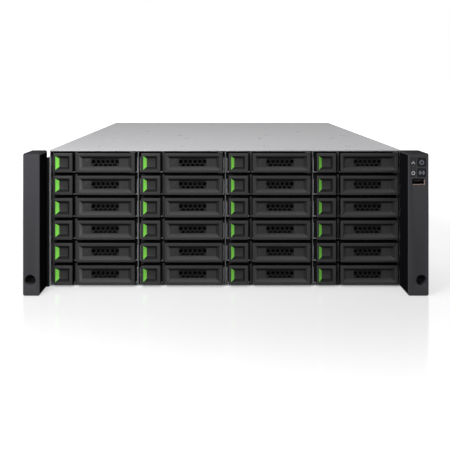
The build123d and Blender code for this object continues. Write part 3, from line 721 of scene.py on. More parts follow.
    def build(self, name: str, body: str, finishes: list[Finish], angle: float = 35.0) -> bpy.types.Object:
        """Makes the piece, closes its seams and puts it on its body.

        Args:
            name: The piece's name.
            body: The body it rides on.
            finishes: The finishes of its faces, the first one for faces that name none.
            angle: Edges sharper than this stay sharp, in degrees.

        Returns:
            The new object.
        """
        mesh = bpy.data.meshes.new(name)
        mesh.from_pydata((np.vstack(self.points) * MM).tolist(), [], self.faces)
        order = {finish.name: number for number, finish in enumerate(finishes)}
        numbers = [order[coat.name] if coat else 0 for coat in self.coats]
        mesh.polygons.foreach_set("material_index", np.array(numbers, np.int32))
        work = bmesh.new()
        work.from_mesh(mesh)
        bmesh.ops.remove_doubles(work, verts=work.verts, dist=3e-6)
        bmesh.ops.recalc_face_normals(work, faces=work.faces)
        work.to_mesh(mesh)
        work.free()
        mesh.shade_smooth()
        mesh.set_sharp_from_angle(angle=math.radians(angle))
        for finish in finishes:
            mesh.materials.append(finish.material())
        piece = bpy.data.objects.new(name, mesh)
        bpy.context.scene.collection.objects.link(piece)
        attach(piece, body)
        LOG.info("%s: %d faces on %s", name, len(mesh.polygons), body)
        return piece


# Drive bays


@dataclass(frozen=True)
class Bay:
    """One drive bay, counted from the top left."""

    row: int
    column: int
    column_pitch: float = 108.6
    row_pitch: float = 27.75
    top_row: float = 154.2

    @property
    def tag(self) -> str:
        """The bay's part of a name."""
        return f"r{self.row}c{self.column}"

    @property
    def place(self) -> Pair:
        """The middle of the bay as (x, z)."""
        return (self.column - 2.5) * self.column_pitch, self.top_row - (self.row - 1) * self.row_pitch

    @property
    def own_handle(self) -> bool:
        """Whether the handle and the button of this bay are bodies of their own."""
        return self.row == 1


@dataclass
class DriveTrays:
    """The 24 drive trays. Each shape is drawn once about the middle of a bay.

    The button's pocket is given as (middle from the left edge, width, height), its floor and the slots
    as (width, height), and the slots' places as (first from the side's middle, first from the front, pitch).
    """

    front: float = -251.5
    face_y: float = -6.5
    face_height: float = 23.7
    button_left: float = -50.0
    button_width: float = 23.8
    button_depth: float = 8.0
    button_ground: float = 4.0
    button_middle: float = -38.1
    button_pocket: Triple = (11.3, 17.2, 16.6)
    button_floor: Pair = (10.6, 10.2)
    stem_half: float = 4.0
    slat_half: float = 3.6
    slat_pitch: float = 1.7
    post_left: float = -24.1
    post_width: float = 2.9
    post_setback: float = 6.0
    handle_left: float = -20.7
    handle_width: float = 71.8
    handle_depth: float = 9.0
    pocket_left: float = 3.3
    pocket_right: float = 4.2
    pocket_height: float = 16.6
    pocket_depth: float = 4.0
    slope_left: float = 2.9
    slope_right: float = 4.5
    floor_height: float = 10.0
    window_left: float = 10.9
    window_width: float = 34.3
    window_height: float = 9.8
    pivot_inset: float = 3.6
    pivot_radius: float = 1.2
    heel: float = 2.0
    lug_length: float = 6.0
    wall_front: float = 5.5
    wall: float = 2.0
    wall_half: float = 52.0
    guide_width: float = 8.5
    hole_width: float = 4.3
    hole_pitch: float = 5.8
    hole_rise: float = 0.9
    comb_hole: float = 4.9
    comb_rise: float = 1.1
    comb_rim: float = 0.25
    comb_depth: float = 1.2
    comb_setback: float = 0.8
    lens_width: float = 9.3
    lens_height: float = 9.2
    lens_round: float = 1.6
    drive_setback: float = 22.0
    drive_size: Triple = (101.6, 147.0, 25.4)
    drive_holes: tuple[float, ...] = (28.5, 70.0, 130.1)
    drive_hole_z: float = -6.35
    drive_hole_radius: float = 2.2
    motor_y: float = 92.0
    motor_rings: Pair = (19.0, 11.0)
    carrier_half: float = 53.2
    carrier_rise: float = 6.0
    carrier_sheet: float = 1.1
    slot_size: Pair = (26.0, 16.0)
    slot_places: Triple = (30.0, 30.0, 32.0)
    slot_count: int = 4
    templates: dict[str, Surface] = field(default_factory=dict)

    def build(self) -> None:
        """Draws the shapes once and places them in each bay."""
        self.templates = {
            "handle": self._handle(),
            "button": self._button(),
            "sled": self._sled(False),
            "sled_top": self._sled(True),
        }
        for row in range(1, 7):
            for column in range(1, 5):
                self._place(Bay(row, column))

    def _place(self, bay: Bay) -> None:
        """Places the pieces of one bay on their bodies.

        Args:
            bay: The bay.
        """
        x, z = bay.place
        body = f"bay_{bay.tag}"
        handle_body = f"handle_c{bay.column}" if bay.own_handle else body
        button_body = f"button_c{bay.column}" if bay.own_handle else body
        sled = self.templates["sled_top" if bay.own_handle else "sled"].moved(x, self.front, z)
        sled = sled.build(f"tray_body_{bay.tag}", body, [TRAY, GRILLE, STEEL, CAST])
        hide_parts(f"tray_{bay.tag}")
        handle = self.templates["handle"].moved(x, self.front, z)
        finishes = [HANDLE, HANDLE_SLOPE_HIGHLIGHT, LENS, GRILLE, FLANK_SHADE, PAINTED_SHADE, HANDLE_END_SHADE]
        handle = handle.build(f"handle_{bay.tag}", handle_body, finishes)
        button = self.templates["button"].moved(x, self.front, z)
        finishes = [BUTTON, GREEN, BUTTON_FLOOR, FLANK_SHADE, PAINTED_SHADE]
        button = button.build(f"button_{bay.tag}", button_body, finishes)
        if bay.own_handle:
            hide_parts(f"tray_handle_c{bay.column}")
            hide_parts(f"tray_button_c{bay.column}")

    @property
    def window_x(self) -> float:
        """The middle of the handle's window."""
        left = self.handle_left + self.pocket_left + self.slope_left + self.window_left
        return left + self.window_width / 2

    def _handle(self) -> Surface:
        """The handle: rings go over its front edge, down the pocket, through the window and back outside.

        Returns:
            The handle, its sloping end and its status lens.
        """
        surface = Surface()
        y = self.face_y
        back = y + self.handle_depth
        middle = self.handle_left + self.handle_width / 2
        outer = Contour(middle, 0, self.handle_width, self.face_height, 0.9)
        left = self.handle_left + self.pocket_left
        right = self.handle_left + self.handle_width - self.pocket_right
        pocket = Contour((left + right) / 2, 0, right - left, self.pocket_height, 0.5)
        floor_left, floor_right = left + self.slope_left, right - self.slope_right
        floor = Contour((floor_left + floor_right) / 2, 0, floor_right - floor_left, self.floor_height, 0.4)
        window = Contour(self.window_x, 0, self.window_width, self.window_height, 0.3)
        ground = y + self.pocket_depth
        rings = [
            outer.ring(), outer.ring(), outer.ring(-0.2), outer.ring(-0.7),
            pocket.ring(0.35), pocket.ring(0.1), pocket.ring(-0.15),
            floor.ring(0.1), floor.ring(-0.05), window.ring(0.15), window.ring(), window.ring(),
        ]
        depths = [back, y + 0.7, y + 0.2, y, y, y + 0.1, y + 0.35]
        depths += [ground - 0.15, ground, ground, ground + 0.15, back]
        grid = Facing.FRONT.stack(rings, depths)
        self._draw_heel(grid)
        numbers = surface.grid(grid, Ends.JOINED)
        # The bands of faces, each by the number of the ring that it starts from
        flank, rim, slope = 0, 5, 6
        left_edge, right_edge = outer.edge(Side.LEFT), outer.edge(Side.RIGHT)
        # The flanks are painted with shade
        surface.dress(numbers[flank], FLANK_SHADE)
        # The left slope of the pocket gets a painted highlight
        surface.dress(numbers[rim : slope + 1, left_edge - 1 : left_edge + 2], HANDLE_SLOPE_HIGHLIGHT)
        # The top slope of the pocket is painted with shade
        surface.dress(numbers[slope, right_edge + 1 : left_edge - 1], PAINTED_SHADE)
        # The right slope of the pocket is painted with shade
        surface.dress(numbers[slope, right_edge], HANDLE_END_SHADE)
        surface.loft(*self._lens(floor_left + 0.2, ground), Facing.FRONT, finish=LENS)
        self._honeycomb(surface, window, ground + self.comb_setback)
        return surface

    def _hexagons(self, counts: tuple[int, int, int], width: float, rise: float) -> list[Contour]:
        """Three rows of hexagons at the window, the middle row in the gaps of the others.

        Args:
            counts: How many each row has, from the lowest.
            width: Their width over flats.
            rise: How far the middle row is above the window's middle.

        Returns:
            Their outlines.
        """
        pitch = self.hole_pitch
        return [
            Contour(
                self.window_x + (place - (count - 1) / 2) * pitch,
                rise + row * pitch * math.sqrt(3) / 2,
                width,
                sides=6,
                turn=math.pi / 6,
            )
            for row, count in zip((-1, 0, 1), counts, strict=True)
            for place in range(count)
        ]

    def _honeycomb(self, surface: Surface, window: Contour, front: float) -> None:
        """Adds the plate of hexagons in the window, those at its edges cut off by a clamp on their height.

        Args:
            surface: The surface that takes it.
            window: The window's outline.
            front: Depth of the plate's face.
        """
        back = front + self.comb_depth
        reach = self.window_height / 2 - self.comb_rim
        rings = [window.ring(0.05)]
        for hexagon in self._hexagons((5, 6, 5), self.comb_hole, self.comb_rise):
            ring = hexagon.ring()
            ring[:, 1] = np.clip(ring[:, 1], -reach, reach)
            apart = np.linalg.norm(ring - np.roll(ring, 1, axis=0), axis=1) > 0.01
            rings.append(ring[apart])
        for ring in rings:
            surface.loft([ring, ring], [front, back], Facing.FRONT, Ends.OPEN, GRILLE)
        for depth in (front, back):
            surface.fill(rings, Facing.FRONT, depth, finish=GRILLE)

    def _draw_heel(self, grid: np.ndarray) -> None:
        """Draws the four outer rings back at the pivot's end, so that the heel clears the wall beside it.

        The heel is a quarter circle: it lies back by r - sqrt(r^2 - s^2) at the way s into it.

        Args:
            grid: The handle's rings, changed in place.
        """
        start = self.handle_left + self.handle_width - self.heel
        depth = grid[:, :, 1] - self.face_y
        outside = (grid[:, :, 0] > start) & (depth < self.heel)
        outer_rings = 4
        outside[outer_rings:] = False
        into = np.clip(grid[:, :, 0] - start, 0, None)
        rounded = self.heel - np.sqrt(np.clip(self.heel**2 - into**2, 0, None))
        grid[:, :, 1] = np.where(outside, self.face_y + np.maximum(depth, rounded), grid[:, :, 1])

    def _lens(self, left: float, ground: float) -> tuple[list[np.ndarray], list[float]]:
        """A flat lens with one large corner radius, standing a little out of the pocket's floor.

        Args:
            left: Its left edge.
            ground: Depth of the floor.

        Returns:
            The rings and depths of the lens.
        """
        half_w, half_h, large = self.lens_width / 2, self.lens_height / 2, self.lens_round
        angle = np.linspace(0, math.pi / 2, 6)
        arc = np.c_[half_w - large + large * np.cos(angle), half_h - large + large * np.sin(angle)]
        corners = np.array([(-half_w, half_h), (-half_w, -half_h), (half_w, -half_h)])
        outline = np.vstack([corners, arc])
        middle = np.array([left + half_w, 0.0])
        rings = [middle + outline, middle + outline, middle + outline * 0.97]
        return rings, [ground + 0.4, ground - 0.1, ground - 0.2]

    def _button(self) -> Surface:
        """The release button: a frame round a funnel whose left slope is green, its stem and its slats.

        Returns:
            The button.
        """
        surface = Surface()
        y = self.face_y
        back = y + self.button_depth
        outer = Contour(self.button_left + self.button_width / 2, 0, self.button_width, self.face_height, 0.8)
        inset, *size = self.button_pocket
        pocket = Contour(self.button_left + inset, 0, *size, 0.3)
        floor = Contour(self.button_middle, 0, *self.button_floor, 0.3)
        ground = y + self.button_ground
        rings = [
            outer.ring(), outer.ring(), outer.ring(-0.2), outer.ring(-0.7),
            pocket.ring(0.25), pocket.ring(), floor.ring(), floor.ring(-0.3),
        ]
        depths = [back, y + 0.7, y + 0.2, y, y, y + 0.2, ground - 0.2, ground]
        numbers = surface.loft(rings, depths, Facing.FRONT)
        surface.dress([-1], BUTTON_FLOOR)
        # The bands of faces, each by the number of the ring that it starts from
        flank, slope = 0, 5
        left_edge = outer.edge(Side.LEFT)
        # The flanks are painted with shade
        surface.dress(numbers[flank], FLANK_SHADE)
        # The top, right and bottom slopes of the funnel are painted with shade
        surface.dress(numbers[slope, : left_edge - 2], PAINTED_SHADE)
        surface.dress(numbers[slope, left_edge - 2 : left_edge + 3], GREEN)
        surface.dress(numbers[slope, outer.edge(Side.BOTTOM)], PAINTED_SHADE)
        middle, half = self.button_middle, self.stem_half
        surface.block((middle - half, back - 0.5, -half), (middle + half, self.wall_front + self.wall, half))
        half = self.slat_half
        for place in range(-2, 3):
            rise = place * self.slat_pitch
            low, high = (middle - half, ground - 0.15, rise - 0.3), (middle + half, ground + 0.3, rise + 0.3)
            surface.block(low, high, 0.1, BUTTON_FLOOR)
        return surface

    def _sled(self, with_pivot: bool) -> Surface:
        """The fixed part of a tray: wall with the grille, post, carrier and drive.

        Args:
            with_pivot: Whether the hinge lugs and the pin are there.

        Returns:
            The tray without its button and handle.
        """
        surface = Surface()
        y0, y1 = self.wall_front, self.wall_front + self.wall
        outline = Contour(0, 0, 2 * self.wall_half, self.face_height, 0.8)
        guide = Contour(self.button_middle, 0, self.guide_width, self.guide_width, 0.3)
        holes = [guide, *self._hexagons((7, 6, 7), self.hole_width, self.hole_rise)]
        surface.panel(outline, holes, y0, y1, Facing.FRONT, edge=0.25, finish=GRILLE)
        post = self.post_left
        over = self.face_height / 2 + 1.0
        post_front = self.face_y + self.post_setback
        surface.block((post, post_front, -over), (post + self.post_width, y0 + 0.4, over), 0.4)
        if with_pivot:
            self._hinge(surface)
        self._carrier(surface)
        self._drive(surface)
        return surface

    def _hinge(self, surface: Surface) -> None:
        """Adds the two lugs and the pin that the handle turns on.

        Args:
            surface: The surface that takes them.
        """
        right = self.handle_left + self.handle_width
        inner, outer = self.face_height / 2 + 0.25, self.face_height / 2 + 1.05
        for sign in (-1, 1):
            low, high = sorted((sign * inner, sign * outer))
            start = (right - self.lug_length, self.face_y + 0.6, low)
            surface.block(start, (right, self.wall_front + 0.4, high), 0.15)
        pivot = (right - self.pivot_inset, self.face_y + self.handle_depth / 2)
        pin = [(self.pivot_radius, -inner), (self.pivot_radius, inner)]
        surface.turned(*pivot, pin, Facing.TOP, sides=20, finish=STEEL)

    def _carrier(self, surface: Surface) -> None:
        """Adds the sheet channel: a floor with lightening slots, and two low sides with drive screws.

        Args:
            surface: The surface that takes it.
        """
        outer, rise = self.carrier_half, self.carrier_rise
        y0, y1 = self.wall_front + self.wall - 0.1, self.drive_setback + self.drive_size[1] + 2.4
        bottom = -self.drive_size[2] / 2 - 0.7
        middle_y = (y0 + y1) / 2
        across, first, pitch = self.slot_places
        slots = [
            Contour(side * across, y0 + first + pitch * place, *self.slot_size, 3.0)
            for side in (-1, 1)
            for place in range(self.slot_count)
        ]
        floor = Contour(0, middle_y, 2 * outer, y1 - y0, 0.5)
        surface.panel(floor, slots, bottom + 0.7, bottom, Facing.TOP, edge=0.15, finish=STEEL)
        side_panel = Contour(middle_y, (bottom + rise) / 2, y1 - y0, rise - bottom, 1.5)
        start, z, radius = self.drive_setback, self.drive_hole_z, self.drive_hole_radius
        holes = [circle(start + d, z, radius, 16) for d in self.drive_holes]
        for side in (-1, 1):
            inside = side * (outer - self.carrier_sheet)
            surface.panel(side_panel, holes, side * outer, inside, Facing.SIDE, edge=0.2, finish=STEEL)
            for hole in holes:
                surface.screw(hole.u, hole.v, side * (outer - 2.0), side, Facing.SIDE, 2.0, STEEL)

    def _drive(self, surface: Surface) -> None:
        """Adds the drive: a cast body, a raised lid and two rings round its motor.

        Args:
            surface: The surface that takes it.
        """
        width, length, height = self.drive_size
        middle = self.drive_setback + length / 2
        body = Contour(0, middle, width, length, 2.0)
        top = height / 2
        lid = Contour(0, middle, width - 8, length - 8, 6.0)
        rings = [body.ring(-0.3), body.ring(), body.ring(), body.ring(-0.4)]
        rings += [lid.ring(0.8), lid.ring(), lid.ring(-0.5)]
        depths = [-top, -top + 0.3, top - 1.6, top - 1.2, top - 1.2, top - 0.6, top - 0.2]
        numbers = surface.loft(rings, depths, Facing.TOP, finish=CAST)
        surface.dress([-1], STEEL)
        surface.dress(numbers[4:], STEEL)
        for radius in self.motor_rings:
            surface.hoop(0, self.drive_setback + self.motor_y, top - 0.35, radius, 0.3, Facing.TOP, STEEL)


# Rack ears and control panel


@dataclass
class RackEars:
    """The two moulded ear covers, the keys, the light strip and the front socket.

    The strip and the socket are given as (x, z, width, height) of their openings.
    """

    wall: float = 2.0
    radius: float = 1.2
    corner: float = 2.2
    hole_x: float = 232.55
    hole_z: float = 18.5
    hole_radius: float = 6.5
    hole_wall: float = 1.2
    play: float = 0.25
    strip: tuple[float, ...] = (222.95, 152.7, 5.7, 22.1)
    guide_depth: float = 15.4
    lamp_rise: Pair = (5.8, -6.8)
    key_x: float = 232.85
    key_z: Pair = (158.9, 146.4)
    key_size: Pair = (10.1, 9.7)
    key_stem: float = 2.0
    key_depth: float = 12.0
    power_ring: float = 2.3
    power_line: float = 0.42
    locate_rings: Pair = (1.9, 3.0)
    locate_line: float = 0.36
    usb: tuple[float, ...] = (229.15, 135.6, 14.7, 6.9)
    tongue_half: float = 5.3
    contact_pitch: float = 2.3
    contact_half: float = 0.5
    board: float = 1.6
    switch: float = 3.0
    screw_z: tuple[float, ...] = (30.0, 68.0, 106.0, 144.0)
    screw_inset: float = 16.0
    bracket: float = 2.0

    def build(self) -> None:
        """Builds both covers and what stands in the right one."""
        for side, name in ((-1, "left"), (1, "right")):
            self._cover(side, name)
        self._key("power", self.key_z[0], self._power_sign)
        self._key("locate", self.key_z[1], self._locate_sign)
        self._light_strip()
        self._panel_board()
        self._usb_socket()
        self._bracket_screws()

    def _openings(self) -> list[Contour]:
        """Lists the control panel's openings in the right cover.

        Returns:
            The outlines for the strip, the two keys and the socket.
        """
        x, z, width, height = self.strip
        openings = [Contour(x, z, width, height, 0.6)]
        width, height = self.key_size
        grown = 2 * self.play
        openings += [Contour(self.key_x, z, width + grown, height + grown, 1.6, steps=5) for z in self.key_z]
        x, z, width, height = self.usb
        openings.append(Contour(x, z, width + grown, height + grown, 0.4))
        return openings

    def _cover(self, side: int, name: str) -> None:
        """Builds one cover as a hollow shell, rounded at the front and open at the back.

        The rounding is a quarter circle: ring k is drawn in by r(1 - cos a) where its depth is r(1 - sin a).

        Args:
            side: -1 for the left ear, 1 for the right one.
            name: The side's name.
        """
        low, high = in_mm(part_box(f"{name}_ear_cover"))
        middle, size = (low + high) / 2, high - low
        outline = Contour(middle[0], middle[2], size[0], size[2], self.corner, steps=4)
        access = circle(side * self.hole_x, self.hole_z, self.hole_radius, 48)
        openings = self._openings() if side > 0 else []
        surface = Surface()
        angle = np.linspace(math.pi / 2, 0, 6)
        insets = self.radius * (1 - np.cos(angle))
        depths = low[1] + self.radius * (1 - np.sin(angle))
        inner_front = low[1] + self.wall
        rings = [outline.ring(-float(inset)) for inset in insets]
        rings += [outline.ring(), outline.ring(-self.wall), outline.ring(-self.wall)]
        numbers = surface.loft(rings, [*depths, high[1], high[1], inner_front], Facing.FRONT, Ends.OPEN)
        # The band of faces that runs from the rounding to the back
        flank = len(insets) - 1
        inner_side = outline.edge(Side.LEFT if side > 0 else Side.RIGHT)
        # The inner side is painted with shade
        surface.dress(numbers[flank, inner_side], EAR_SIDE_SHADE)
        # The top side with most of the arcs at its two corners, darkened as painted shade
        top = slice(outline.edge(Side.RIGHT) + 2, outline.edge(Side.LEFT) - 1)
        surface.dress(numbers[: flank + 1, top], EAR_TOP_SHADE)
        edge = 0.35
        holes = [access, *openings]
        surface.fill([outline.ring(-self.radius), *[h.ring(edge) for h in holes]], Facing.FRONT, low[1])
        surface.fill([outline.ring(-self.wall), *[h.ring() for h in holes]], Facing.FRONT, inner_front)
        for hole in holes:
            drawn = [hole.ring(edge), hole.ring(0.3 * edge), hole.ring(), hole.ring()]
            places = [low[1], low[1] + 0.3 * edge, low[1] + edge, inner_front]
            surface.loft(drawn, places, Facing.FRONT, Ends.OPEN)
        inside, outside = self.hole_radius, self.hole_radius + self.hole_wall
        tube = [(inside, inner_front), (inside, high[1]), (outside, high[1]), (outside, inner_front)]
        surface.turned(side * self.hole_x, self.hole_z, tube, Facing.FRONT, 48, Ends.JOINED)
        piece = surface.build(f"{name}_ear_moulding", "chassis", [EAR, EAR_SIDE_SHADE, EAR_TOP_SHADE])
        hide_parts(f"{name}_ear_cover")

    def _key(self, name: str, z: float, sign: Callable[[Surface, float, float], None]) -> None:
        """Builds a key as a dished rounded square with a generic sign on it.

        Args:
            name: The key's name.
            z: The height of its middle.
            sign: The method that adds its sign.
        """
        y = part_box("power_button")[0].y / MM
        surface = Surface()
        cap = Contour(self.key_x, z, *self.key_size, 1.5, steps=5)
        rings = [cap.ring(), cap.ring(), cap.ring(-0.15), cap.ring(-0.5), cap.ring(-1.2), cap.ring(-3.2)]
        surface.loft(rings, [y + 3.0, y + 0.5, y + 0.15, y, y + 0.08, y + 0.25], Facing.FRONT)
        x, half = self.key_x, self.key_stem
        surface.block((x - half, y + 2.8, z - half), (x + half, y + self.key_depth, z + half))
        sign(surface, z, y + 0.12)
        piece = surface.build(f"{name}_key", f"{name}_key", [KEY, SIGN])
        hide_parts(f"{name}_button")

    def _power_sign(self, surface: Surface, z: float, y: float) -> None:
        """Adds an open ring with a bar at its top.

        Args:
            surface: The surface that takes it.
            z: The height of the key's middle.
            y: Depth of the sign's face.
        """
        angle = np.radians(np.linspace(120, 420, 22))
        u, v = self.power_ring * np.cos(angle), self.power_ring * np.sin(angle)
        self._stroke(surface, self.key_x + u, z - 0.2 + v, y, self.power_line, SIGN)
        bar = np.linspace(0.2, 2.9, 3)
        self._stroke(surface, self.key_x + 0 * bar, z + bar, y, self.power_line, SIGN)

    def _locate_sign(self, surface: Surface, z: float, y: float) -> None:
        """Adds a lamp sign: a dot inside two pairs of arcs.

        Args:
            surface: The surface that takes it.
            z: The height of the key's middle.
            y: Depth of the sign's face.
        """
        surface.turned(self.key_x, z, [(0.8, y + 0.2), (0.8, y)], Facing.FRONT, sides=16, finish=SIGN)
        for start, end in ((-55, 55), (125, 235)):
            angle = np.radians(np.linspace(start, end, 10))
            for radius in self.locate_rings:
                u, v = radius * np.cos(angle), radius * np.sin(angle)
                self._stroke(surface, self.key_x + u, z + v, y, self.locate_line, SIGN)

    def _stroke(
        self, surface: Surface, u: np.ndarray, v: np.ndarray, y: float, half: float, finish: Finish
    ) -> None:
        """Adds a flat raised line: the path moved to each side along its normal, and given a thickness.

        Args:
            surface: The surface that takes it.
            u: The path across.
            v: The path upwards.
            y: Depth of the line's face.
            half: Half the line's width.
            finish: The line's finish.
        """
        path = np.c_[u, v]
        along = np.gradient(path, axis=0)
        along /= np.linalg.norm(along, axis=1)[:, None]
        normal = np.c_[-along[:, 1], along[:, 0]] * half
        sides = [path + normal, path - normal]
        face = [Facing.FRONT.points(side, y) for side in sides]
        back = [Facing.FRONT.points(side, y + 0.25) for side in sides]
        grid = np.stack([face[0], face[1], back[1], back[0]]).transpose(1, 0, 2)
        surface.grid(grid, Ends.CLOSED, finish)

    def _light_strip(self) -> None:
        """Builds the guide behind the strip's opening, with a caret and a ring for its lamps."""
        x, z, width, height = self.strip
        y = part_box("front_panel_board")[0].y / MM
        surface = Surface()
        guide = Contour(x, z, width - 2 * self.play, height - 2 * self.play, 0.5)
        depths = [y, y + 0.2, y + self.guide_depth]
        surface.loft([guide.ring(-0.2), guide.ring(), guide.ring()], depths, Facing.FRONT)
        upper, lower = self.lamp_rise
        caret = np.array([(-2.0, -1.6), (0.0, 0.7), (2.0, -1.6)])
        self._stroke(surface, x + caret[:, 0], z + upper + caret[:, 1], y - 0.08, 0.55, ICON)
        angle = np.radians(np.linspace(0, 360, 25))
        u, v = 1.75 * np.cos(angle), 1.75 * np.sin(angle)
        self._stroke(surface, x + u, z + lower + v, y - 0.08, 0.5, ICON)
        surface.build("light_strip", "chassis", [GUIDE, ICON])

    def _panel_board(self) -> None:
        """Builds the board behind the control panel, with a switch behind each key."""
        low, high = in_mm(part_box("front_panel_board"))
        front = high[1] - self.board
        surface = Surface()
        surface.block((low[0], front, low[2]), tuple(high))
        x, half = self.key_x, self.switch
        for z in self.key_z:
            surface.block((x - half, front - half, z - half), (x + half, front, z + half), finish=INSERT_AND_SHADE)
        piece = surface.build("panel_board", "chassis", [CIRCUIT, INSERT_AND_SHADE])
        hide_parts("front_panel_board")

    def _usb_socket(self) -> None:
        """Builds the socket's shell, its tongue and four contacts."""
        x, z, width, height = self.usb
        low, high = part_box("front_usb_port")
        y0, y1 = low.y / MM, high.y / MM
        surface = Surface()
        outer = Contour(x, z, width, height, 0.5)
        rings = [outer.ring(), outer.ring(), outer.ring(-0.25), outer.ring(-0.5), outer.ring(-0.5)]
        numbers = surface.loft(rings, [y1, y0 + 0.2, y0, y0 + 0.2, y1 - 0.5], Facing.FRONT)
        surface.dress([-1], INSERT_AND_SHADE)
        # The bands of faces, each by the number of the ring that it starts from
        rim, inside = slice(1, 3), 3
        # The top and left of the rim and the whole inner wall take the black plastic: painted shade inside
        # the shell
        surface.dress(numbers[rim, outer.edge(Side.RIGHT) + 1 : outer.edge(Side.BOTTOM)], INSERT_AND_SHADE)
        surface.dress(numbers[inside], INSERT_AND_SHADE)
        half = self.tongue_half
        surface.block((x - half, y0 + 1.5, z + 0.35), (x + half, y1 - 0.4, z + 2.25), 0.15, INSERT_AND_SHADE)
        half = self.contact_half
        for place in range(4):
            contact = x + (place - 1.5) * self.contact_pitch
            low, high = (contact - half, y0 + 2.2, z + 0.2), (contact + half, y1 - 0.6, z + 0.4)
            surface.block(low, high, 0.05, GOLD)
        piece = surface.build("front_usb_socket", "chassis", [COPPER, INSERT_AND_SHADE, GOLD])
        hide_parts("front_usb_port")

    def _bracket_screws(self) -> None:
        """Adds the screws that hold the brackets to the sides of the chassis."""
        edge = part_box("rack_brackets")[1].y / MM
        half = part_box("chassis_tub")[1].x / MM
        surface = Surface()
        for side in (-1, 1):
            for z in self.screw_z:
                seat = side * (half + self.bracket)
                surface.screw(edge - self.screw_inset, z, seat, side, Facing.SIDE, radius=2.8)
        surface.build("bracket_screws", "chassis", [SCREW])


# Covers


@dataclass
class TopCovers:
    """The two sections of the top, each a plate with rounded edges and flush screws in dimples."""

    edge: float = 0.35
    dimple: float = 4.2
    screw: float = 2.7
    front_rows: tuple[float, ...] = (47.0, 157.0)
    front_columns: tuple[float, ...] = (-163.0, -54.3, 54.3, 163.0)
    rear_rows: tuple[float, ...] = (290.0, 480.0)
    rear_columns: tuple[float, ...] = (-128.0, 128.0)
    seam_columns: tuple[float, ...] = (-190.0, -68.7, 68.7, 190.0)
    seam_gap: float = 8.0

    def build(self) -> None:
        """Builds both plates and their screws."""
        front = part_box("chassis_tub")[0].y / MM
        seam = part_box("rear_top_cover")[0].y / MM
        spots = [(x, front + d) for d in self.front_rows for x in self.front_columns]
        self._plate("front", spots)
        spots = [(x, front + d) for d in self.rear_rows for x in self.rear_columns]
        spots += [(x, seam + self.seam_gap) for x in self.seam_columns]
        self._plate("rear", spots)

    def _plate(self, name: str, spots: list[Pair]) -> None:
        """Builds one plate and the screws in its dimples.

        Args:
            name: The section's name.
            spots: The screws' places as (x, y).
        """
        low, high = in_mm(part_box(f"{name}_top_cover"))
        middle, size = (low + high) / 2, high - low
        outline = Contour(middle[0], middle[1], size[0], size[1], 0.6)
        surface, screws = Surface(), Surface()
        holes = [circle(x, y, self.dimple, 24) for x, y in spots]
        numbers = surface.panel(outline, holes, high[2], low[2], Facing.TOP, edge=self.edge)
        if name == "front":
            surface.dress(numbers[:, outline.edge(Side.BOTTOM)], HEM)
        wide, bore, bottom = self.dimple + 0.2, self.screw - 0.1, low[2]
        seat = [(wide, bottom), (wide, bottom + 0.3), (bore, bottom + 0.15), (bore, bottom)]
        for x, y in spots:
            surface.turned(x, y, seat, Facing.TOP, 24, Ends.JOINED)
            screws.screw(x, y, bottom + 0.2, 1.0, Facing.TOP, self.screw)
        plate = surface.build(f"{name}_cover_plate", "chassis", [TOP_STEEL, HEM], angle=15.0)
        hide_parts(f"{name}_top_cover")
        screws.build(f"{name}_cover_screws", "chassis", [SCREW])


# Rear modules


@dataclass
class FanRotors:
    """The two fan rotors: a turned hub with a domed nose and swept, cambered blades."""

    hub_radius: float = 15.0
    hub_half: float = 14.0
    blade_count: int = 5
    tip: float = 37.3
    chord: float = 25.0
    thickness: float = 1.5
    camber: float = 2.2
    root_pitch: float = 46.0
    twist: float = 18.0
    sweep: float = 16.0
    flatten: float = 0.9
    bore: float = 2.06

    def build(self) -> None:
        """Builds both rotors."""
        for name in ("left", "right"):
            low, high = in_mm(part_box(f"fan_rotor_{name}"))
            centre = (low + high) / 2
            surface = Surface()
            self._hub(surface, centre)
            for place in range(self.blade_count):
                self._blade(surface, centre, place * 2 * math.pi / self.blade_count)
            piece = surface.build(f"rotor_{name}", f"rotor_{name}", [FAN])
            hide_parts(f"fan_rotor_{name}")

    def _hub(self, surface: Surface, centre: np.ndarray) -> None:
        """Adds the hub: a turned cup, bored for the shaft.

        Args:
            surface: The surface that takes it.
            centre: The fan's centre.
        """
        x, y, z = centre
        radius, half = self.hub_radius, self.hub_half
        bore = self.bore
        profile = [
            (bore, y - half), (radius - 1, y - half), (radius, y - half + 1), (radius, y + half - 2.5),
            (radius - 0.7, y + half - 0.8), (radius - 2.5, y + half), (0.01, y + half),
            (0.01, y + half - 6.0), (bore, y + half - 6.0),
        ]
        surface.turned(x, z, profile, Facing.FRONT, 40, Ends.JOINED)

    def _blade(self, surface: Surface, centre: np.ndarray, start: float) -> None:
        """Adds one blade.

        At radius r the chord lies at pitch p(r), which falls from root to tip, swept back by an angle
        that grows with r. Its middle line bulges by a parabola, and the thickness is a half ellipse.

        Args:
            surface: The surface that takes it.
            centre: The fan's centre.
            start: The blade's angle round the axis.
        """
        share = np.linspace(0, 1, 9)[:, None]
        along = np.linspace(-1, 1, 13)[None, :]
        radius = self.hub_radius - 1.5 + (self.tip - self.hub_radius + 1.5) * share
        pitch = np.radians(self.root_pitch - self.twist * share)
        sweep = start + np.radians(self.sweep) * share**1.5
        chord = self.chord * (0.8 + 0.25 * share) / 2
        camber = self.camber * (1 - along**2)
        half = 0.5 * self.thickness * np.sqrt(np.clip(1 - along**2, 0, 1)) + 0.12
        rounds = []
        for sign in (1.0, -1.0):
            lift = camber + sign * half
            across = chord * along * np.cos(pitch) - lift * np.sin(pitch)
            depth = chord * along * np.sin(pitch) + lift * np.cos(pitch)
            angle = sweep + across / radius
            x = centre[0] + radius * np.cos(angle)
            z = centre[2] + radius * np.sin(angle)
            y = centre[1] + depth * self.flatten
            sheet = np.stack([x, y, z], axis=-1)
            rounds.append(sheet if sign > 0 else sheet[:, ::-1])
        surface.grid(np.concatenate(rounds, axis=1), Ends.CLOSED)


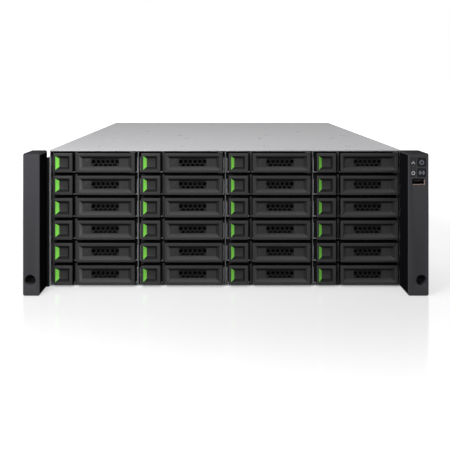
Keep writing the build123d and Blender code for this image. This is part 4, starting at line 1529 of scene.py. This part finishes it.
@dataclass
class PowerSupplies:
    """What dresses the two power supplies: guard wires, inlet moulding and lamp.

    The inlet, the vent and the lamp are given from the middle of the supply's face.
    """

    centres: Pair = (-163.8, 163.8)
    middle_z: float = 124.725
    inlet: Pair = (-30.0, -22.0)
    inlet_size: Pair = (23.9, 16.4)
    inlet_bore: Pair = (21.6, 14.2)
    inlet_depth: float = 14.8
    vent: Pair = (15.0, 8.0)
    lamp: Pair = (-46.0, -34.0)
    wire: float = 0.65
    hoops: tuple[float, ...] = (5.0, 10.5, 16.0, 21.5, 27.0)
    strut_reach: float = 27.6

    def build(self) -> None:
        """Builds the pieces of both supplies."""
        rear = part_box("chassis_tub")[1].y / MM
        for name, x in zip(("left", "right"), self.centres, strict=True):
            self._guard(name, x, rear)
            self._inlet(name, x, rear)

    def _guard(self, name: str, x: float, rear: float) -> None:
        """Builds the finger guard over the vent: wire hoops on two crossing struts.

        Args:
            name: The supply's side.
            x: The middle of its face.
            rear: Depth of its face.
        """
        centre = np.array([x + self.vent[0], self.middle_z + self.vent[1]])
        surface = Surface()
        for radius in self.hoops:
            surface.hoop(*centre, rear - 1.0, radius, self.wire, Facing.FRONT)
        for angle in (math.pi / 4, 3 * math.pi / 4):
            reach = np.array([math.cos(angle), math.sin(angle)]) * self.strut_reach
            self._strut(surface, centre - reach, centre + reach, rear - 2.2)
        surface.build(f"supply_{name}_guard", f"supply_{name}", [SOCKET_STEEL])

    def _strut(self, surface: Surface, start: np.ndarray, end: np.ndarray, y: float) -> None:
        """Adds a straight wire between two places: a small octagon carried from one to the other.

        Args:
            surface: The surface that takes it.
            start: Its first end as (x, z).
            end: Its other end.
            y: Its depth.
        """
        along = (end - start) / np.linalg.norm(end - start)
        normal = np.array([-along[1], along[0]])
        angle = np.linspace(0, 2 * math.pi, 8, endpoint=False)
        rings = []
        for place in (start, end):
            flat = place[None, :] + normal[None, :] * (self.wire * np.cos(angle))[:, None]
            rings.append(np.c_[flat[:, 0], y + self.wire * np.sin(angle), flat[:, 1]])
        surface.grid(np.stack(rings), Ends.CLOSED)

    def _inlet(self, name: str, x: float, rear: float) -> None:
        """Builds the mains inlet's moulded rim and a status lamp.

        Args:
            name: The supply's side.
            x: The middle of its face.
            rear: Depth of its face.
        """
        u, v = x + self.inlet[0], self.middle_z + self.inlet[1]
        surface = Surface()
        outer = Contour(u, v, *self.inlet_size, 1.0)
        inner = Contour(u, v, *self.inlet_bore, 2.6)
        rings = [outer.ring(), outer.ring(), outer.ring(-0.3), inner.ring(0.3), inner.ring(), inner.ring()]
        deep = rear - self.inlet_depth
        depths = [deep, rear - 0.3, rear, rear, rear - 0.3, deep]
        surface.loft(rings, depths, Facing.FRONT, Ends.JOINED)
        lamp = [(1.6, rear - 0.5), (1.6, rear + 0.3), (0.9, rear + 0.6)]
        place = (x + self.lamp[0], self.middle_z + self.lamp[1])
        surface.turned(*place, lamp, Facing.FRONT, sides=16, finish=LATCH)
        surface.build(f"supply_{name}_inlet", f"supply_{name}", [INSERT_AND_SHADE, LATCH])


@dataclass
class RearPorts:
    """What dresses the controller's rear: the jacks' contacts and lamps, and the panel screws."""

    jack_x: tuple[float, ...] = (-120.0, -102.0, -84.0, -66.0)
    jack_z: float = 16.95
    wire_pitch: float = 1.02
    lamp_inset: float = 5.6
    screw_z: Pair = (40.0, 72.0)

    def build(self) -> None:
        """Builds the contacts and the screws."""
        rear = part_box("chassis_tub")[1].y / MM
        surface = Surface()
        z = self.jack_z
        for x in self.jack_x:
            for place in range(8):
                wire = x + (place - 3.5) * self.wire_pitch
                low, high = (wire - 0.2, rear - 12.5, z + 2.2), (wire + 0.2, rear - 3.0, z + 2.6)
                surface.block(low, high, 0.05)
            for side in (-1, 1):
                lamp = x + side * self.lamp_inset
                low, high = (lamp - 1.4, rear - 1.0, z + 4.7), (lamp + 1.4, rear + 0.12, z + 6.1)
                surface.block(low, high, 0.1, LATCH)
        surface.build("jack_contacts", "controller", [GOLD, LATCH])
        screws = Surface()
        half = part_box("controller_case")[1].x / MM
        for side in (-1, 1):
            for height in self.screw_z:
                screws.screw(side * (half - 6.0), height, rear, 1.0, Facing.FRONT, radius=2.6)
        screws.build("controller_screws", "controller", [SCREW])


@dataclass
class BoardParts:
    """Chips and capacitors of the main board.

    Each chip is (x, y, width, depth, height), with y counted from the board's front edge.
    """

    chips: tuple[tuple[float, ...], ...] = (
        (-110.0, 120.0, 22.0, 22.0, 2.4), (-70.0, 70.0, 16.0, 16.0, 1.8), (105.0, 60.0, 26.0, 26.0, 2.6),
        (115.0, 130.0, 14.0, 20.0, 1.8), (-115.0, 30.0, 18.0, 12.0, 1.6), (90.0, 200.0, 12.0, 12.0, 1.5),
    )
    can_count: int = 6
    can_start: float = -60.0
    can_pitch: float = 24.0
    can_y: float = 40.0
    can_radius: float = 4.0
    can_height: float = 10.0

    def build(self) -> None:
        """Builds the parts on the main board."""
        low, high = in_mm(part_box("mainboard"))
        front, top = low[1], high[2]
        surface = Surface()
        for x, y, width, depth, height in self.chips:
            start = (x - width / 2, front + y - depth / 2, top)
            surface.block(start, (x + width / 2, front + y + depth / 2, top + height))
        radius, lid = self.can_radius, top + self.can_height
        can = [(radius, top), (radius, lid - 0.6), (radius - 0.4, lid), (radius - 0.8, lid - 0.2)]
        for place in range(self.can_count):
            x = self.can_start + self.can_pitch * place
            surface.turned(x, front + self.can_y, can, Facing.TOP, sides=20, finish=ALUMINIUM)
        surface.build("board_chips", "controller", [CHIP, ALUMINIUM])


class CarriedNodes:
    """CAD nodes whose shape stays: each gets its finish in place of the plain one."""

    FINISHES: dict[str, Finish] = {
        "chassis_tub": STEEL,
        # The cage's finish is darkened as painted shade
        "drive_cage": CAGE_SHADED,
        "rear_bay_frame": STEEL,
        "rack_brackets": BRACKET,
        "midplane": CIRCUIT,
        "controller_case": STEEL,
        "mainboard": CIRCUIT,
        "cpu_heatsink": ALUMINIUM,
        "memory_modules": CIRCUIT,
        "rear_ports": SOCKET_STEEL,
        "controller_lever_left": LATCH,
        "controller_lever_right": LATCH,
        "psu_left": SUPPLY,
        "psu_right": SUPPLY,
        "psu_left_latch": LATCH,
        "psu_right_latch": LATCH,
        "fan_module_left": FAN,
        "fan_module_right": FAN,
    }

    def build(self) -> None:
        """Assigns the finishes to the material slots of the nodes."""
        for name, finish in self.FINISHES.items():
            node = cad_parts[name]
            if not node.material_slots:
                node.data.materials.append(None)
            for slot in node.material_slots:
                slot.material = finish.material()
            LOG.info("%s: carried over with %s", name, finish.name)


# Surroundings


@dataclass
class Studio:
    """Floor, world, lamps and camera, in metres."""

    camera_x: float = -0.0103
    camera_ahead: float = 0.780
    camera_z: float = 0.2552
    lens: float = 50.1
    shift: Pair = (0.0174, -0.3196)
    ambient: float = 0.10
    floor_size: float = 60.0
    floor_drop: float = 0.0002
    floor_base: float = 0.35
    floor_gloss: float = 0.12
    # The floor glows less near the object than far from it, which paints a soft shadow round it
    floor_lift: Pair = (0.50, 0.90)
    floor_reach: Pair = (0.36, 0.75)

    def build(self) -> None:
        """Sets up everything round the object."""
        self._world()
        self._floor()
        self._lamps()
        self._camera()
        bpy.context.scene.view_settings.view_transform = "Standard"

    def _world(self) -> None:
        """Lights the scene evenly, and shows plain white to the camera and to reflections."""
        world = bpy.data.worlds.new("studio_world")
        bpy.context.scene.world = world
        board = NodeBoard(world)
        level = board.spread(board.direct_rays(), To_Min=self.ambient, To_Max=1.0)
        background = board.add("ShaderNodeBackground", Color=WHITE, Strength=level)
        board.close(background, "ShaderNodeOutputWorld")

    def _floor(self) -> None:
        """Lays a pale satin floor that keeps the object's shadow and a faint reflection.

        It shines by itself where it is seen or reflected, and more so away from the object: the weaker glow
        near it is a painted shadow.
        """
        size = self.floor_size
        mesh = bpy.data.meshes.new("floor")
        corners = [(-size, -size, 0.0), (size, -size, 0.0), (size, size, 0.0), (-size, size, 0.0)]
        mesh.from_pydata(corners, [], [(0, 1, 2, 3)])
        floor = bpy.data.objects.new("floor", mesh)
        bpy.context.scene.collection.objects.link(floor)
        board = NodeBoard(bpy.data.materials.new("floor_white"))
        place = board.add("ShaderNodeTexCoord").outputs["Object"]
        away = board.add("ShaderNodeVectorMath", operation="LENGTH", Vector=place)
        near, far = self.floor_reach
        dim, bright = self.floor_lift
        # Lower glow near the object: painted shadow
        lift = board.spread(
            away.outputs["Value"],
            interpolation_type="SMOOTHSTEP", From_Min=near, From_Max=far, To_Min=dim, To_Max=bright,
        )
        glow = board.compute("MULTIPLY", board.direct_rays(), lift)
        base = (self.floor_base, self.floor_base, self.floor_base, 1.0)
        shader = board.add(
            "ShaderNodeBsdfPrincipled", Base_Color=base, Roughness=self.floor_gloss,
            Emission_Color=WHITE, Emission_Strength=glow,
        )
        mesh.materials.append(board.close(shader))
        floor.location.z = -self.floor_drop

    def _lamp(self, name: str, place: Triple, aim: Triple, size: float, power: float) -> None:
        """Adds a square soft lamp.

        Args:
            name: The lamp's name.
            place: Where it hangs.
            aim: The point it faces.
            size: Its side.
            power: Its power in watts.
        """
        data = bpy.data.lights.new(name, "AREA")
        data.shape, data.size, data.energy = "SQUARE", size, power
        lamp = bpy.data.objects.new(name, data)
        bpy.context.scene.collection.objects.link(lamp)
        lamp.location = place
        lamp.rotation_euler = (Vector(aim) - Vector(place)).to_track_quat("-Z", "Y").to_euler()

    def _lamps(self) -> None:
        """Hangs a softbox overhead, and a small key lamp in front on the left."""
        self._lamp("overhead", (-0.15, -0.55, 1.4), (0.0, -0.1, 0.0), 1.0, 14.0)
        self._lamp("key", (-0.32, -0.75, 0.52), (-0.1, -0.27, 0.08), 0.25, 4.5)

    def _camera(self) -> None:
        """Places the level camera of the photograph, shifted to its frame."""
        data = bpy.data.cameras.new("camera")
        data.lens, data.sensor_width = self.lens, 36.0
        data.shift_x, data.shift_y = self.shift
        data.clip_start, data.clip_end = 0.01, 50.0
        camera = bpy.data.objects.new("camera", data)
        bpy.context.scene.collection.objects.link(camera)
        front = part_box("chassis_tub")[0].y
        camera.location = (self.camera_x, front - self.camera_ahead, self.camera_z)
        camera.rotation_euler = (math.pi / 2, 0.0, 0.0)
        bpy.context.scene.camera = camera


def main() -> None:
    """Builds every sub-assembly in order."""
    logging.basicConfig(level=logging.INFO, format="%(message)s")
    Studio().build()
    for assembly in (
        CarriedNodes(),
        DriveTrays(),
        RackEars(),
        TopCovers(),
        FanRotors(),
        PowerSupplies(),
        RearPorts(),
        BoardParts(),
    ):
        LOG.info("building %s", type(assembly).__name__)
        assembly.build()


if __name__ == "__main__":
    main()
